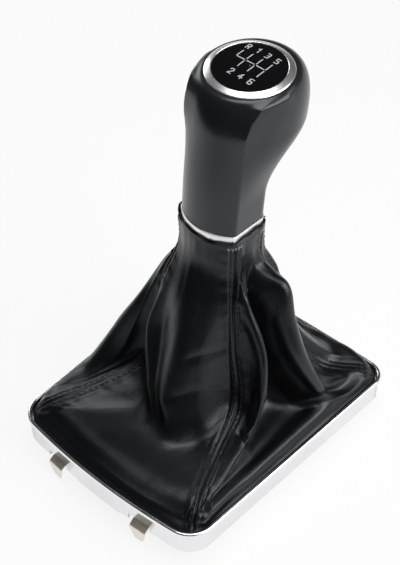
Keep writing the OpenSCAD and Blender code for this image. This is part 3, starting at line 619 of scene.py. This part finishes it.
def detailed_leather(places):
    """Outer face of the leather with its seams, folds and wrinkles, from the neck down."""
    rows = np.linspace(0, 1, GAITER_ROWS + 1)
    grid = leather_grid(rows, places)
    normals = grid_normals(grid)
    seam = seam_distances(grid, places)
    length, total = along_rows(grid)
    around = length / total[:, None]
    down = np.cumsum(np.linalg.norm(np.diff(grid, axis=0, prepend=grid[:1]), axis=2), axis=0)
    panel = np.searchsorted(SEAMS, places, side="right") % 4
    layer = np.broadcast_to(panel * 7.3, grid.shape[:2])
    off_seam = 1 - bell(seam, 6.0)
    at_ends = smooth(down, 0, 3) * smooth(rows[::-1][:, None], 0.0, 0.06)

    angle = around * 2 * math.pi
    wide_u, wide_v = np.cos(angle) * 3.2, np.sin(angle) * 3.2
    broad = noise_field(wide_u + layer, wide_v + down / 46, 1.7, 2)
    middle = noise_field(wide_u * 3.0 + layer, wide_v * 3.0 + down / 19, 4.1, 3)
    fine = noise_field(wide_u * 7.0 + layer, wide_v * 7.0 + down / 11, 8.9, 3)
    gathers = np.sin(angle * GATHERS + 2.2 * noise_field(wide_u, wide_v + down / 60, 6.3, 1))

    height = off_seam * (BROAD_H * broad + MIDDLE_H * middle + FINE_H * fine)
    height += off_seam * gathers * (band(down, NECK_GATHER_H, 9, 16) + GATHER_H)
    front_right = bell(places - SEAMS[0], 0.4)
    puckers = np.sin(down * 2 * math.pi / PUCKER_PITCH + 2 * middle)
    height += band(abs(seam), PUCKER_H, 4.5, 3.2) * puckers * (1 - front_right)
    height += 0.9 * seam_profile(seam) * smooth(down, -2, 1) * (1 - 0.85 * front_right)
    for crest, width, sharp, line in CREASES.values():
        d, along = crease_distance(grid, line)
        k = np.clip(1 - d / width, 0, 1)
        if sharp:
            height += crest * k ** 2 * smooth(along, 0, 0.3) * smooth(1 - along, 0, 0.3)
        else:
            height += crest * k * k * (3 - 2 * k)
    to_hem = down[-1] - down
    right_edge = smooth(places, 1.75, 2.1) * smooth(3.42 - places, 0, 0.12)
    height += right_edge * (band(to_hem, *RIGHT_WELT) + band(to_hem, *RIGHT_GROOVE))
    rear_edge = smooth(places, 3.6, 3.85) * smooth(6.35 - places, 0, 0.25)
    height += rear_edge * band(to_hem, *REAR_GROOVE)
    grid = grid + normals * (height * at_ends)[..., None]
    return grid, down


def neck_edge_rise(places):
    """How far the leather's cut edge stands up past its usual level, and how far out."""
    waves = 0.35 * np.sin(places * 5.1) + 0.25 * np.sin(places * 11.7 + 1.0)
    left, right = bell(places - 7.35, 0.75), bell(places - 2.2, 0.35)
    return 0.55 + waves + 2.4 * left + 0.9 * right, 0.25 + 1.3 * left + 0.4 * right


def leather_faces(places):
    """Rows of the whole outer face, from the cut edge at the neck to the tucked hem."""
    grid, down = detailed_leather(places)
    rise, out = neck_edge_rise(places)
    level = grid_normals(grid)[0] * (1, 1, 0)
    level /= np.linalg.norm(level, axis=1, keepdims=True)
    up = np.array(KNOB_UP)
    steps = [(0.35, 0.2), (0.7, 0.6), (1.0, 1.0)]
    above = [grid[0] + up * (rise * k)[:, None] + level * (out * j)[:, None] for k, j in steps]
    hem = grid[-1].copy()
    hem[:, 2] = HEM_Z
    return np.concatenate([np.array(above[::-1]), grid, hem[None]])


def leather_piece(name, outer, normals, first, last):
    """A closed piece of the leather between two rows of its outer face."""
    outer, normals = outer[first:last + 1], normals[first:last + 1]
    inner = outer - normals * LEATHER_T
    n_rows, n_cols = outer.shape[:2]
    count = n_rows * n_cols
    outside = grid_faces(n_rows, n_cols, closed_cols=True)
    inside = [tuple(i + count for i in f[::-1]) for f in outside]
    top = [(c, c + count, (c + 1) % n_cols + count, (c + 1) % n_cols) for c in range(n_cols)]
    end = count - n_cols
    bottom = [(end + c, end + (c + 1) % n_cols, end + (c + 1) % n_cols + count, end + c + count)
              for c in range(n_cols)]
    obj = new_object(name, np.concatenate([outer, inner]).reshape(-1, 3),
                     outside + inside + top + bottom)
    # the cut between the two pieces doesn't show: both get the whole face's normals there
    kept = np.zeros((2 * count, 3))
    if first > 0:
        kept[:n_cols] = normals[0]
    if first == 0:
        kept[end:end + n_cols] = normals[-1]
    obj.data.normals_split_custom_set_from_vertices(kept.tolist())
    return paint(obj, LEATHER)


def capsules(name, segments, radius, sides=6):
    """Small round-ended threads, each given by its two ends and the surface's normal."""
    points, faces = [], []
    rings = [(0.0, 0.25), (0.12, 0.8), (0.5, 1.0), (0.88, 0.8), (1.0, 0.25)]
    for a, b, normal in segments:
        along = (b - a) / np.linalg.norm(b - a)
        across = np.cross(along, normal)
        start = len(points)
        for t, r in rings:
            middle = a + (b - a) * t + normal * (radius * 0.9 * math.sin(math.pi * t) - 0.15)
            for k in range(sides):
                angle = 2 * math.pi * k / sides
                points.append(middle + radius * r * (across * math.cos(angle)
                                                     + normal * math.sin(angle)))
        for i in range(len(rings) - 1):
            for k in range(sides):
                j = (k + 1) % sides
                p, q = start + i * sides, start + (i + 1) * sides
                faces.append((p + k, p + j, q + j, q + k))
        faces.append(tuple(start + k for k in range(sides - 1, -1, -1)))
        last = start + (len(rings) - 1) * sides
        faces.append(tuple(last + k for k in range(sides)))
    return new_object(name, points, faces)


def walk(path, normals, pitch, stitch):
    """Stitches of a length at a pitch along a path of points with normals."""
    gaps = np.linalg.norm(np.diff(path, axis=0), axis=1)
    length = np.concatenate([[0], np.cumsum(gaps)])

    def at(values, d):
        return np.array([np.interp(d, length, values[:, k]) for k in range(3)])

    result = []
    for start in np.arange(pitch / 2, length[-1] - pitch, pitch):
        normal = at(normals, start + stitch / 2)
        result.append((at(path, start), at(path, start + stitch), normal / np.linalg.norm(normal)))
    return result


STITCH_PITCH, STITCH_LENGTH, THREAD_R = 3.1, 2.3, 0.34
TACK_ROWS, TACK_HALF, TACK_PITCH, TACK_LENGTH, TACK_R = (5, 6), 5.5, 1.9, 1.4, 0.30
NEAR = 60      # columns of the leather on each side of a seam that the stitches may use


def beside_seam(outer, normals, places, seam):
    """The outer face near a seam, its normals, and each point's distance from the seam."""
    shift = NEAR - int(np.argmin(abs(places - seam)))
    near = np.roll(outer, shift, axis=1)[:, :2 * NEAR + 1]
    facing = np.roll(normals, shift, axis=1)[:, :2 * NEAR + 1]
    steps = np.linalg.norm(np.diff(near, axis=1), axis=2)
    reach = np.concatenate([np.zeros((len(near), 1)), np.cumsum(steps, axis=1)], axis=1)
    return near, facing, reach - reach[:, NEAR:NEAR + 1]


def at_reach(values, reach, offs):
    """Values of one row at distances from the seam."""
    return np.column_stack([np.interp(offs, reach, values[:, k]) for k in range(3)])


def seam_stitches(outer, normals, places):
    """Stitches of the two rows beside each seam."""
    result = []
    for seam in SEAMS:
        near, facing, reach = beside_seam(outer, normals, places, seam)
        for off in (-STITCH_OFF, STITCH_OFF):
            path, up = (np.array([at_reach(v, r, [off])[0] for v, r in zip(values, reach)])
                        for values in (near, facing))
            result += walk(path, up, STITCH_PITCH, STITCH_LENGTH)
    return result


def tack_stitches(outer, normals, places):
    """Stitches across each seam, just below the leather's edge at the neck."""
    result = []
    offs = np.linspace(-TACK_HALF, TACK_HALF, 45)
    for seam in SEAMS:
        near, facing, reach = beside_seam(outer, normals, places, seam)
        for row in TACK_ROWS:
            path, up = at_reach(near[row], reach[row], offs), at_reach(facing[row], reach[row], offs)
            result += walk(path, up, TACK_PITCH, TACK_LENGTH)
    return result


def make_gaiter():
    places = loop_places(GAITER_STEPS)
    outer = leather_faces(places)
    normals = grid_normals(outer)
    normals[-2:, :, 2] = 0
    normals[:3, :, 2] = 0
    normals /= np.linalg.norm(normals, axis=2, keepdims=True)
    last_row = len(outer) - 1
    split = SPLIT_ROW + 3
    upper = leather_piece("gaiter_upper", outer, normals, 0, split)
    lower = leather_piece("gaiter_lower", outer, normals, split, last_row)
    above, below = slice(4, split + 1), slice(split, last_row - 3)
    upper_thread = capsules(
        "seam_thread_upper", seam_stitches(outer[above], normals[above], places), THREAD_R)
    lower_thread = capsules(
        "seam_thread_lower", seam_stitches(outer[below], normals[below], places), THREAD_R)
    tacks = capsules("neck_tacks", tack_stitches(outer, normals, places), TACK_R)
    for obj, material in ((upper_thread, THREAD), (lower_thread, THREAD), (tacks, PALE_THREAD)):
        paint(obj, material)
    for obj in (lower, lower_thread):
        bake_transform(obj)
    for obj in (upper, upper_thread, tacks):
        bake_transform(obj)
    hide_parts("rear_panel", "right_panel", "front_panel", "left_panel")


# Knob
CROWN_START, CROWN_POWER = HEAD_LEVEL + 3, 2.2
FACE_RIM = RING_R - 0.15
GRIP_BOTTOM = COLLAR_H / 2
RIM_DROP = RING_BEVEL + 0.3
RIM_Z = FACE_HEIGHT - RIM_DROP / math.cos(math.radians(FACE_TILT))
KNOB_STEPS = (34, 26, 34, 26, 34)
KNOB_ROWS = 150
# The edge between the grip's rear and its side, which sweeps forward under the ring
RIDGE = [(16.2, -10.0, 22), (15.9, -10.0, 46), (16.4, -9.4, 57), (17.0, -7.6, 64),
         (18.0, -4.0, 69), (19.0, 0.5, 71.8), (20.0, 7.0, 73.0), (20.2, 14.0, 73.4)]
RIDGE_H, RIDGE_W = 1.8, 9.0
SCOOP_DEPTH = 0.9


def knob_grid():
    places = loop_places(KNOB_STEPS)
    grip = loop_points(GRIP_SHAPE, places)
    head_middle = np.array([0, HEAD_FORWARD])
    angle = np.arctan2(grip[:, 1] - HEAD_FORWARD, grip[:, 0])
    radius = 1 / np.sqrt((np.cos(angle) * 2 / HEAD_W) ** 2 + (np.sin(angle) * 2 / HEAD_D) ** 2)
    ray = np.stack([np.cos(angle), np.sin(angle)], axis=1)
    head = head_middle + ray * radius[:, None]
    rim = np.array([0, FACE_FORWARD]) + ray * FACE_RIM
    low, turn = 0.36, FLARE_START + 22
    levels = [mix(GRIP_BOTTOM, turn, t / low) if t <= low
              else mix(turn, RIM_Z, math.sin(math.pi / 2 * (t - low) / (1 - low)))
              for t in np.linspace(0, 1, KNOB_ROWS + 1)]
    rings = []
    for z in levels:
        flare = smooth(z, FLARE_START, HEAD_LEVEL)
        k = max(0, (z - CROWN_START) / (RIM_Z - CROWN_START))
        crown = 1 - max(0, 1 - k ** CROWN_POWER) ** (1 / CROWN_POWER)
        tip = math.tan(math.radians(FACE_TILT)) * smooth(z, FLARE_START, RIM_Z)
        p = mix(mix(grip, head, flare), rim, crown)
        rings.append(np.column_stack([p, z + tip * (p[:, 1] - FACE_FORWARD * flare)]))
    return np.array(rings)[::-1]


def shape_knob(grid):
    """Sharpens the two rear edges up to the ring, and hollows the sides below them."""
    normals = grid_normals(grid)
    folded = np.abs(grid[..., :1]) * (1, 0, 0) + grid * (0, 1, 1)
    d, where = distance_to(dense_line(RIDGE, 20), folded)
    crest = smooth(where, 0.05, 0.3) * smooth(1 - where, 0, 0.12)
    height = RIDGE_H * crest * np.clip(1 - d / RIDGE_W, 0, 1) ** 2
    x, y, z = np.moveaxis(folded, 2, 0)
    side = bell(y - 5, 9) * bell(z - 57, 11) * smooth(x, 12, 18)
    height -= SCOOP_DEPTH * side * smooth(d, 0, 6)
    height *= smooth(FACE_HEIGHT - 1.6 - z + math.tan(math.radians(FACE_TILT)) * (y - FACE_FORWARD), 0, 3)
    return grid + normals * height[..., None]


def make_knob():
    grid = shape_knob(knob_grid())
    n_rows, n_cols = grid.shape[:2]
    faces = grid_faces(n_rows, n_cols, closed_cols=True)
    faces.append(tuple(range(n_cols))[::-1])
    faces.append(tuple((n_rows - 1) * n_cols + c for c in range(n_cols)))
    grip = paint(new_object("grip_body", grid, faces, matrix=TO_KNOB), GRIP_SKIN)
    stand_for(grip, "knob", "grip_skin", "grip_shell")


COLLAR_OUT, COLLAR_IN = 0.35, -3.3


def make_collar():
    half = COLLAR_H / 2 - 0.01
    profile = round_profile([(COLLAR_IN, -half), (COLLAR_OUT, -half), (COLLAR_OUT, half),
                             (COLLAR_IN, half)], 0.35)
    places = loop_places((34, 20, 24, 20, 34))
    loops = [loop_points(GRIP_SHAPE, places, out) for out, z in profile]
    points = [[(*loop[i], z) for loop, (out, z) in zip(loops, profile)]
              for i in range(len(places))]
    faces = grid_faces(len(places), len(profile), closed_rows=True, closed_cols=True, flip=True)
    collar = paint(new_object("collar_band", points, faces, matrix=TO_KNOB), BRIGHT)
    stand_for(collar, "knob", "bright_trim", "collar_trim")


# Face
DOME_R = (CAP_R ** 2 + CAP_RISE ** 2) / (2 * CAP_RISE)


def make_face():
    inside = CAP_R + 0.1
    profile = round_profile([
        (inside, -2.4), (inside, -0.15), (inside + 0.35, 0.1), (RING_R - 0.35, -RING_BEVEL + 0.2),
        (RING_R, -RING_BEVEL - 0.1), (RING_R, -RIM_DROP + 0.1), (RING_R - 0.7, -RIM_DROP + 0.1),
        (RING_R - 0.7, -2.3), (RING_R - 1.7, -2.3), (RING_R - 1.7, -5.6), (RING_R - 2.9, -5.6),
    ][::-1], 0.14, steps=3)
    ring = paint(lathe("face_ring", profile, 220, TO_FACE), BRIGHT)
    stand_for(ring, "knob", "bright_trim", "top_ring")

    rings = [(CAP_R * math.sin(t), t) for t in np.linspace(0, math.pi / 2, 30)]
    outline = [(0.001 + r, dome_height(r)) for r, t in rings]
    outline += [(CAP_R, dome_height(CAP_R) - 0.5), (CAP_R, -2.0), (0.001, -2.0)]
    cap = paint(lathe("face_cap", outline[::-1], 180, TO_FACE), GLOSS_FACE)
    stand_for(cap, "knob", "pattern_face", "pattern_cap")


def dome_height(r):
    return CAP_RISE - 0.3 - DOME_R + math.sqrt(DOME_R ** 2 - r ** 2)


STROKE = 0.54
PRINT_RAISE = 0.03
GATE = [
    [(-8.95, 6.5), (-8.95, 2.3), (-8.4, 1.8), (-4.4, 1.8)],
    [(-3.15, 1.8), (0.75, 1.8)],
    [(2.15, 1.8), (6.15, 1.8)],
    [(-3.95, -3.2), (-3.95, 0.9)], [(-3.95, 2.9), (-3.95, 6.8)],
    [(1.5, -3.3), (1.5, 0.85)], [(1.5, 2.65), (1.5, 6.6)],
    [(6.9, -3.6), (6.9, 0.9)], [(6.9, 2.1), (6.9, 6.4)],
]
# Marks drawn in a box 2 wide and 4 high, as strokes with cut corners
MARKS = {
    "R": [[(0, 0), (0, 4), (1.6, 4), (2, 3.6), (2, 2.3), (1.6, 1.9), (0, 1.9)], [(1.1, 1.9), (2, 0)]],
    "1": [[(0.2, 3.2), (1.2, 4), (1.2, 0)]],
    "2": [[(0, 3.2), (0, 3.6), (0.4, 4), (1.6, 4), (2, 3.6), (2, 2.6), (0, 0.4), (0, 0), (2, 0)]],
    "3": [[(0, 4), (1.6, 4), (2, 3.6), (2, 2.4), (1.6, 2.05), (0.6, 2.05)],
          [(1.6, 2.05), (2, 1.7), (2, 0.4), (1.6, 0), (0, 0)]],
    "4": [[(1.5, 0), (1.5, 4), (0, 1.2), (2.2, 1.2)]],
    "5": [[(2, 4), (0.1, 4), (0.1, 2.2), (1.6, 2.2), (2, 1.8), (2, 0.4), (1.6, 0), (0, 0)]],
    "6": [[(2, 4), (0.4, 4), (0, 3.6), (0, 0.4), (0.4, 0), (1.6, 0), (2, 0.4), (2, 1.8), (1.6, 2.2),
           (0, 2.2)]],
}
MARK_SCALE = (0.80, 0.78)
MARK_PLACES = {"R": (-9.0, 10.0), "1": (-3.6, 10.4), "3": (1.6, 10.1), "5": (6.9, 9.9),
               "2": (-3.95, -7.4), "4": (1.5, -7.5), "6": (6.8, -7.6)}


def ribbon(line, width):
    """Outline points on both sides of a line, with mitred corners."""
    line = [np.array(p, float) for p in line]
    sides = []
    for i, p in enumerate(line):
        before = p - line[i - 1] if i else line[1] - p
        after = line[i + 1] - p if i < len(line) - 1 else before
        before, after = before / np.linalg.norm(before), after / np.linalg.norm(after)
        along = (before + after) / np.linalg.norm(before + after)
        across = np.array([-along[1], along[0]])
        reach = width / 2 / max(0.5, abs(across @ np.array([-before[1], before[0]])))
        end = (-1 if i == 0 else 1) * width * 0.35 if i in (0, len(line) - 1) else 0
        sides.append((p + across * reach + along * end, p - across * reach + along * end))
    return sides


def make_print():
    lines = list(GATE)
    for mark, (x, y) in MARK_PLACES.items():
        for stroke in MARKS[mark]:
            lines.append([(x + (a - 1) * MARK_SCALE[0], y + (b - 2) * MARK_SCALE[1])
                          for a, b in stroke])
    points, faces = [], []
    for line in lines:
        sides = ribbon(line, STROKE)
        start = len(points)
        for pair in sides:
            for q in pair:
                top = dome_height(math.hypot(*q))
                points += [(q[0], q[1], top + PRINT_RAISE), (q[0], q[1], top - 0.05)]
        for i in range(len(sides) - 1):
            a, b = start + 4 * i, start + 4 * (i + 1)
            faces += [(a, a + 2, b + 2, b), (a + 1, b + 1, b + 3, a + 3),
                      (a, b, b + 1, a + 1), (a + 2, a + 3, b + 3, b + 2)]
        end = start + 4 * (len(sides) - 1)
        faces += [(start, start + 1, start + 3, start + 2), (end, end + 2, end + 3, end + 1)]
    shown = paint(new_object("shift_pattern", points, faces, smooth=False, matrix=TO_FACE), PRINT)
    stand_for(shown, "knob", "pattern_face")


# Frame
def end_place(end, angle):
    """Place on a bowed edge at an angle from the edge's middle, positive to the right."""
    d = loop_data(WINDOW_SHAPE)
    if end == "rear":
        edge = bearing(d[4] - d[6])
        s = 4 + (-math.pi / 2 + abs(angle) - edge) / (-math.pi / 2 - edge)
    else:
        s = abs(angle) / (math.pi / 2 - bearing(d[2] - d[0]))
    return s if angle >= 0 else 10 - s


def notch_stretches():
    """Places where each notch starts and ends."""
    d = loop_data(WINDOW_SHAPE)
    result = []
    for end, r in (("rear", d[7]), ("front", d[1])):
        for side in (-1, 1):
            middle = side * math.asin(CLIP_X / r)
            wide, narrow = CLIP_W / 2 + NOTCH_SIDE, CLIP_W / 2 + 0.4
            left, right = (wide, narrow) if end == "rear" else (narrow, wide)
            ends = (middle - math.asin(left / r), middle + math.asin(right / r))
            result.append(sorted(end_place(end, a) for a in ends))
    return result


def make_trim():
    notches = notch_stretches()
    d = loop_data(WINDOW_SHAPE)
    locating = sorted(end_place("rear", a * math.asin(LOCATING_HALF / d[7])) for a in (-1, 1))
    base = loop_places((90, 26, 90, 30, 90))
    steps = [p + e for pair in notches + [locating] for p in pair for e in (-0.0008, 0.0008)]
    places = np.array(sorted(set(base.round(5)) | set(np.round(steps, 5))))

    def edge(s):
        if any(a <= s <= b for a, b in notches):
            return SKIRT_Z + NOTCH_H
        return SKIRT_Z - LOCATING_DROP if locating[0] <= s <= locating[1] else SKIRT_Z

    def section(bottom):
        corners = [(0, -1.9), (0, -0.75), (0.35, -0.2), (0.9, 0), (LIP_W - 0.8, 0),
                   (LIP_W - 0.2, -0.3), (LIP_W, -0.9), (LIP_W, -LIP_H), (SKIRT_OUT, -LIP_H),
                   (SKIRT_OUT, bottom - LIP_Z), (SKIRT_IN, bottom - LIP_Z), (SKIRT_IN, -2.2)]
        return round_profile(corners, 0.22, steps=2)

    sections = {level: section(level) for level in {edge(s) for s in places}}
    outs = sorted({round(o, 4) for sec in sections.values() for o, z in sec})
    loops = {o: loop_points(WINDOW_SHAPE, places, o) for o in outs}
    points = [[(*loops[round(o, 4)][i], LIP_Z + z) for o, z in sections[edge(s)]]
              for i, s in enumerate(places)]
    points = np.array(points) + (0, SHIFT_Y, 0)
    faces = grid_faces(len(places), points.shape[1], closed_rows=True, closed_cols=True)
    trim = paint(new_object("frame_trim", points, faces), PLATED)
    stand_for(trim, "frame", "plated_trim", "surround_trim")


def clip_matrix(end, side):
    d = loop_data(WINDOW_SHAPE)
    if end == "rear":
        centre, r, turn = d[6], d[7], 0
    else:
        centre, r, turn = d[0], d[1], math.pi
    angle = side * math.asin(CLIP_X / r)
    turn = turn + angle if end == "rear" else turn - angle
    return (Matrix.Translation((0, centre[1] + SHIFT_Y, 0)) @ Matrix.Rotation(turn, 4, "Z")
            @ Matrix.Translation((0, -r, 0)))


def make_clip(name, node, end, side):
    """A bent spring strip, with rounded bends and a tongue that narrows to its tip."""
    leg, barb = 0.3 + CLIP_T / 2, -SKIRT_OUT - CLIP_BARB + CLIP_T / 2
    low = SKIRT_Z + NOTCH_H - 0.5
    bends = [(leg, HEM_Z - 0.5), (leg, low), (barb, SKIRT_Z + 0.75), (barb + 0.9, 0.1)]
    path = []
    for i, p in enumerate(np.array(bends)):
        if i in (0, len(bends) - 1):
            path.append(p)
            continue
        a, b = np.array(bends[i - 1]) - p, np.array(bends[i + 1]) - p
        start, stop = p + a / np.linalg.norm(a) * 0.8, p + b / np.linalg.norm(b) * 0.8
        for t in np.linspace(0, 1, 7):
            path.append((1 - t) ** 2 * start + 2 * t * (1 - t) * p + t * t * stop)
    path = np.array(path)
    tail = [mix(path[-2], path[-1], t) for t in np.linspace(0, 1, 9)[1:]]
    path = np.concatenate([path[:-1], tail])
    tangent = np.gradient(path, axis=0)
    tangent /= np.linalg.norm(tangent, axis=1, keepdims=True)
    across = np.column_stack([-tangent[:, 1], tangent[:, 0]])
    points = []
    for p, n in zip(path, across):
        t = max(0.0, (SKIRT_Z - 0.4 - p[1]) / (SKIRT_Z - 0.5))
        half = mix(CLIP_W / 2, CLIP_TIP_W / 2, t ** 1.3)
        outline = round_profile([(-half, -CLIP_T / 2), (half, -CLIP_T / 2), (half, CLIP_T / 2),
                                 (-half, CLIP_T / 2)], 0.22, steps=2)
        points.append([(x, *(p + n * y)) for x, y in outline])
    points = np.array(points)
    count = points.shape[1]
    faces = grid_faces(len(points), count, closed_cols=True)
    faces.append(tuple(range(count))[::-1])
    faces.append(tuple((len(points) - 1) * count + i for i in range(count)))
    clip = paint(new_object(name, points, faces, matrix=clip_matrix(end, side)), SPRING_STEEL)
    stand_for(clip, "frame", "spring_steel", node)


# Floor, lights and camera
BACKDROP_TOP = (0.05, 0.32)      # sine of the height at which the white backdrop ends
BACKDROP_SIDE = (-0.1, 0.5)      # and the part of it that lies behind the object
ROOM_LEVEL = 0.06
PALE, WHITE = (0.86, 0.86, 0.86, 1), (1, 1, 1, 1)
SHADOW_SHARE = 0.12              # how much of the floor's own shading shows, so shadows stay
CAMERA_PLACE = (248.97, SHIFT_Y - 280.82, LIP_Z + 415.65)
CAMERA_BACK = (0.4929, -0.5508, 0.6735)
CAMERA_LENS = 68.79
CAMERA_SENSOR = 36.0


def stage_material():
    """Pale floor for the light, and white with its shadows for camera and reflections."""
    material = bpy.data.materials.new("studio_floor")
    material.use_nodes = True
    tree = material.node_tree
    tree.nodes.clear()
    join = tree.links.new
    output = add_node(tree, "OutputMaterial")
    pale = add_node(tree, "BsdfDiffuse", {"Color": PALE})
    white = add_node(tree, "Emission", {"Strength": 1.0})
    shown = add_node(tree, "MixShader", {"Fac": 1 - SHADOW_SHARE})
    join(pale.outputs["BSDF"], shown.inputs[1])
    join(white.outputs["Emission"], shown.inputs[2])
    path = add_node(tree, "LightPath")
    seen = path.outputs["Is Camera Ray"]
    for ray in ("Is Glossy Ray", "Is Transmission Ray"):
        either = add_node(tree, "Math", operation="MAXIMUM")
        join(seen, either.inputs[0])
        join(path.outputs[ray], either.inputs[1])
        seen = either.outputs["Value"]
    choose = add_node(tree, "MixShader")
    join(seen, choose.inputs["Fac"])
    join(pale.outputs["BSDF"], choose.inputs[1])
    join(shown.outputs["Shader"], choose.inputs[2])
    join(choose.outputs["Shader"], output.inputs["Surface"])
    return material


def floor():
    """Pale floor that ends behind the camera, so the room beyond it is dim."""
    left, right, near, far = -900, 3000, SHIFT_Y - 260, 3000
    corners = [(left, near, 0), (right, near, 0), (right, far, 0), (left, far, 0)]
    obj = new_object("floor", corners, [(0, 1, 2, 3)], smooth=False)
    paint(obj, stage_material())


def world():
    """Plain studio: a white backdrop behind the object, a dim room around, white to the camera."""
    scene_world = bpy.data.worlds.new("studio")
    bpy.context.scene.world = scene_world
    scene_world.use_nodes = True
    tree = scene_world.node_tree
    tree.nodes.clear()
    join = tree.links.new
    output = add_node(tree, "OutputWorld")
    direction = add_node(tree, "TexCoord")
    parts = add_node(tree, "SeparateXYZ")
    join(direction.outputs["Generated"], parts.inputs["Vector"])
    backdrop = add_node(tree, "Math", operation="MULTIPLY")
    for i, (axis, (start, end), (first, last)) in enumerate([
            ("Z", BACKDROP_TOP, (1.0, 0.0)), ("Y", BACKDROP_SIDE, (0.0, 1.0))]):
        fade = add_node(tree, "MapRange", {"From Min": start, "From Max": end,
                                           "To Min": first, "To Max": last},
                        interpolation_type="SMOOTHSTEP")
        join(parts.outputs[axis], fade.inputs["Value"])
        join(fade.outputs["Result"], backdrop.inputs[i])
    strength = add_node(tree, "Math", {1: 1.0 - ROOM_LEVEL, 2: ROOM_LEVEL},
                        operation="MULTIPLY_ADD")
    join(backdrop.outputs["Value"], strength.inputs[0])
    room = add_node(tree, "Background")
    join(strength.outputs["Value"], room.inputs["Strength"])
    white = add_node(tree, "Background", {"Color": WHITE, "Strength": 1.0})
    path = add_node(tree, "LightPath")
    choose = add_node(tree, "MixShader")
    join(path.outputs["Is Camera Ray"], choose.inputs["Fac"])
    join(room.outputs["Background"], choose.inputs[1])
    join(white.outputs["Background"], choose.inputs[2])
    join(choose.outputs["Shader"], output.inputs["Surface"])


def area_light(name, place, target, size, power):
    data = bpy.data.lights.new(name, "AREA")
    data.shape = "RECTANGLE"
    data.size, data.size_y = (v * MM for v in size)
    data.energy = power
    light = bpy.data.objects.new(name, data)
    bpy.context.scene.collection.objects.link(light)
    light.location = Vector(place) * MM
    light.rotation_euler = (Vector(target) - Vector(place)).to_track_quat("-Z", "Y").to_euler()


def camera():
    data = bpy.data.cameras.new("camera")
    data.sensor_width = CAMERA_SENSOR
    data.lens = CAMERA_LENS
    data.clip_start, data.clip_end = 0.01, 20
    obj = bpy.data.objects.new("camera", data)
    bpy.context.scene.collection.objects.link(obj)
    obj.location = Vector(CAMERA_PLACE) * MM
    obj.rotation_euler = (-Vector(CAMERA_BACK)).to_track_quat("-Z", "Y").to_euler()
    bpy.context.scene.camera = obj


camera()
world()
floor()
# name, direction from the object, distance, size across and up, radiance
SOFTBOXES = [
    ("top_softbox", (0.0, 0.03, 1.0), 850, (460, 460), 4.6),
    ("right_softbox", (0.74, 0.22, 0.62), 850, (800, 560), 5.0),
    ("left_softbox", (-0.86, 0.18, 0.40), 850, (360, 360), 3.5),
]
for name, toward, distance, size, radiance in SOFTBOXES:
    middle = Vector((0, SHIFT_Y, 90))
    power = radiance * math.pi * size[0] * size[1] * MM * MM
    area_light(name, middle + Vector(toward).normalized() * distance, middle, size, power)

make_gaiter()
make_knob()
make_collar()
make_face()
make_print()
make_trim()
for end in ("rear", "front"):
    for side, side_name in ((-1, "left"), (1, "right")):
        make_clip(f"clip_{end}_{side_name}", f"spring_clip_{end}_{side_name}", end, side)

for node_name, material in {
    "retainer_frame": HIDDEN_PLASTIC, "lever_sleeve": HIDDEN_PLASTIC,
    "lever_clamp": CLAMP_STEEL, "neck_ring": HIDDEN_PLASTIC, "neck_tie": HIDDEN_PLASTIC,
}.items():
    paint(frame["nodes"][node_name], material)

bpy.context.scene.view_settings.view_transform = "Standard"
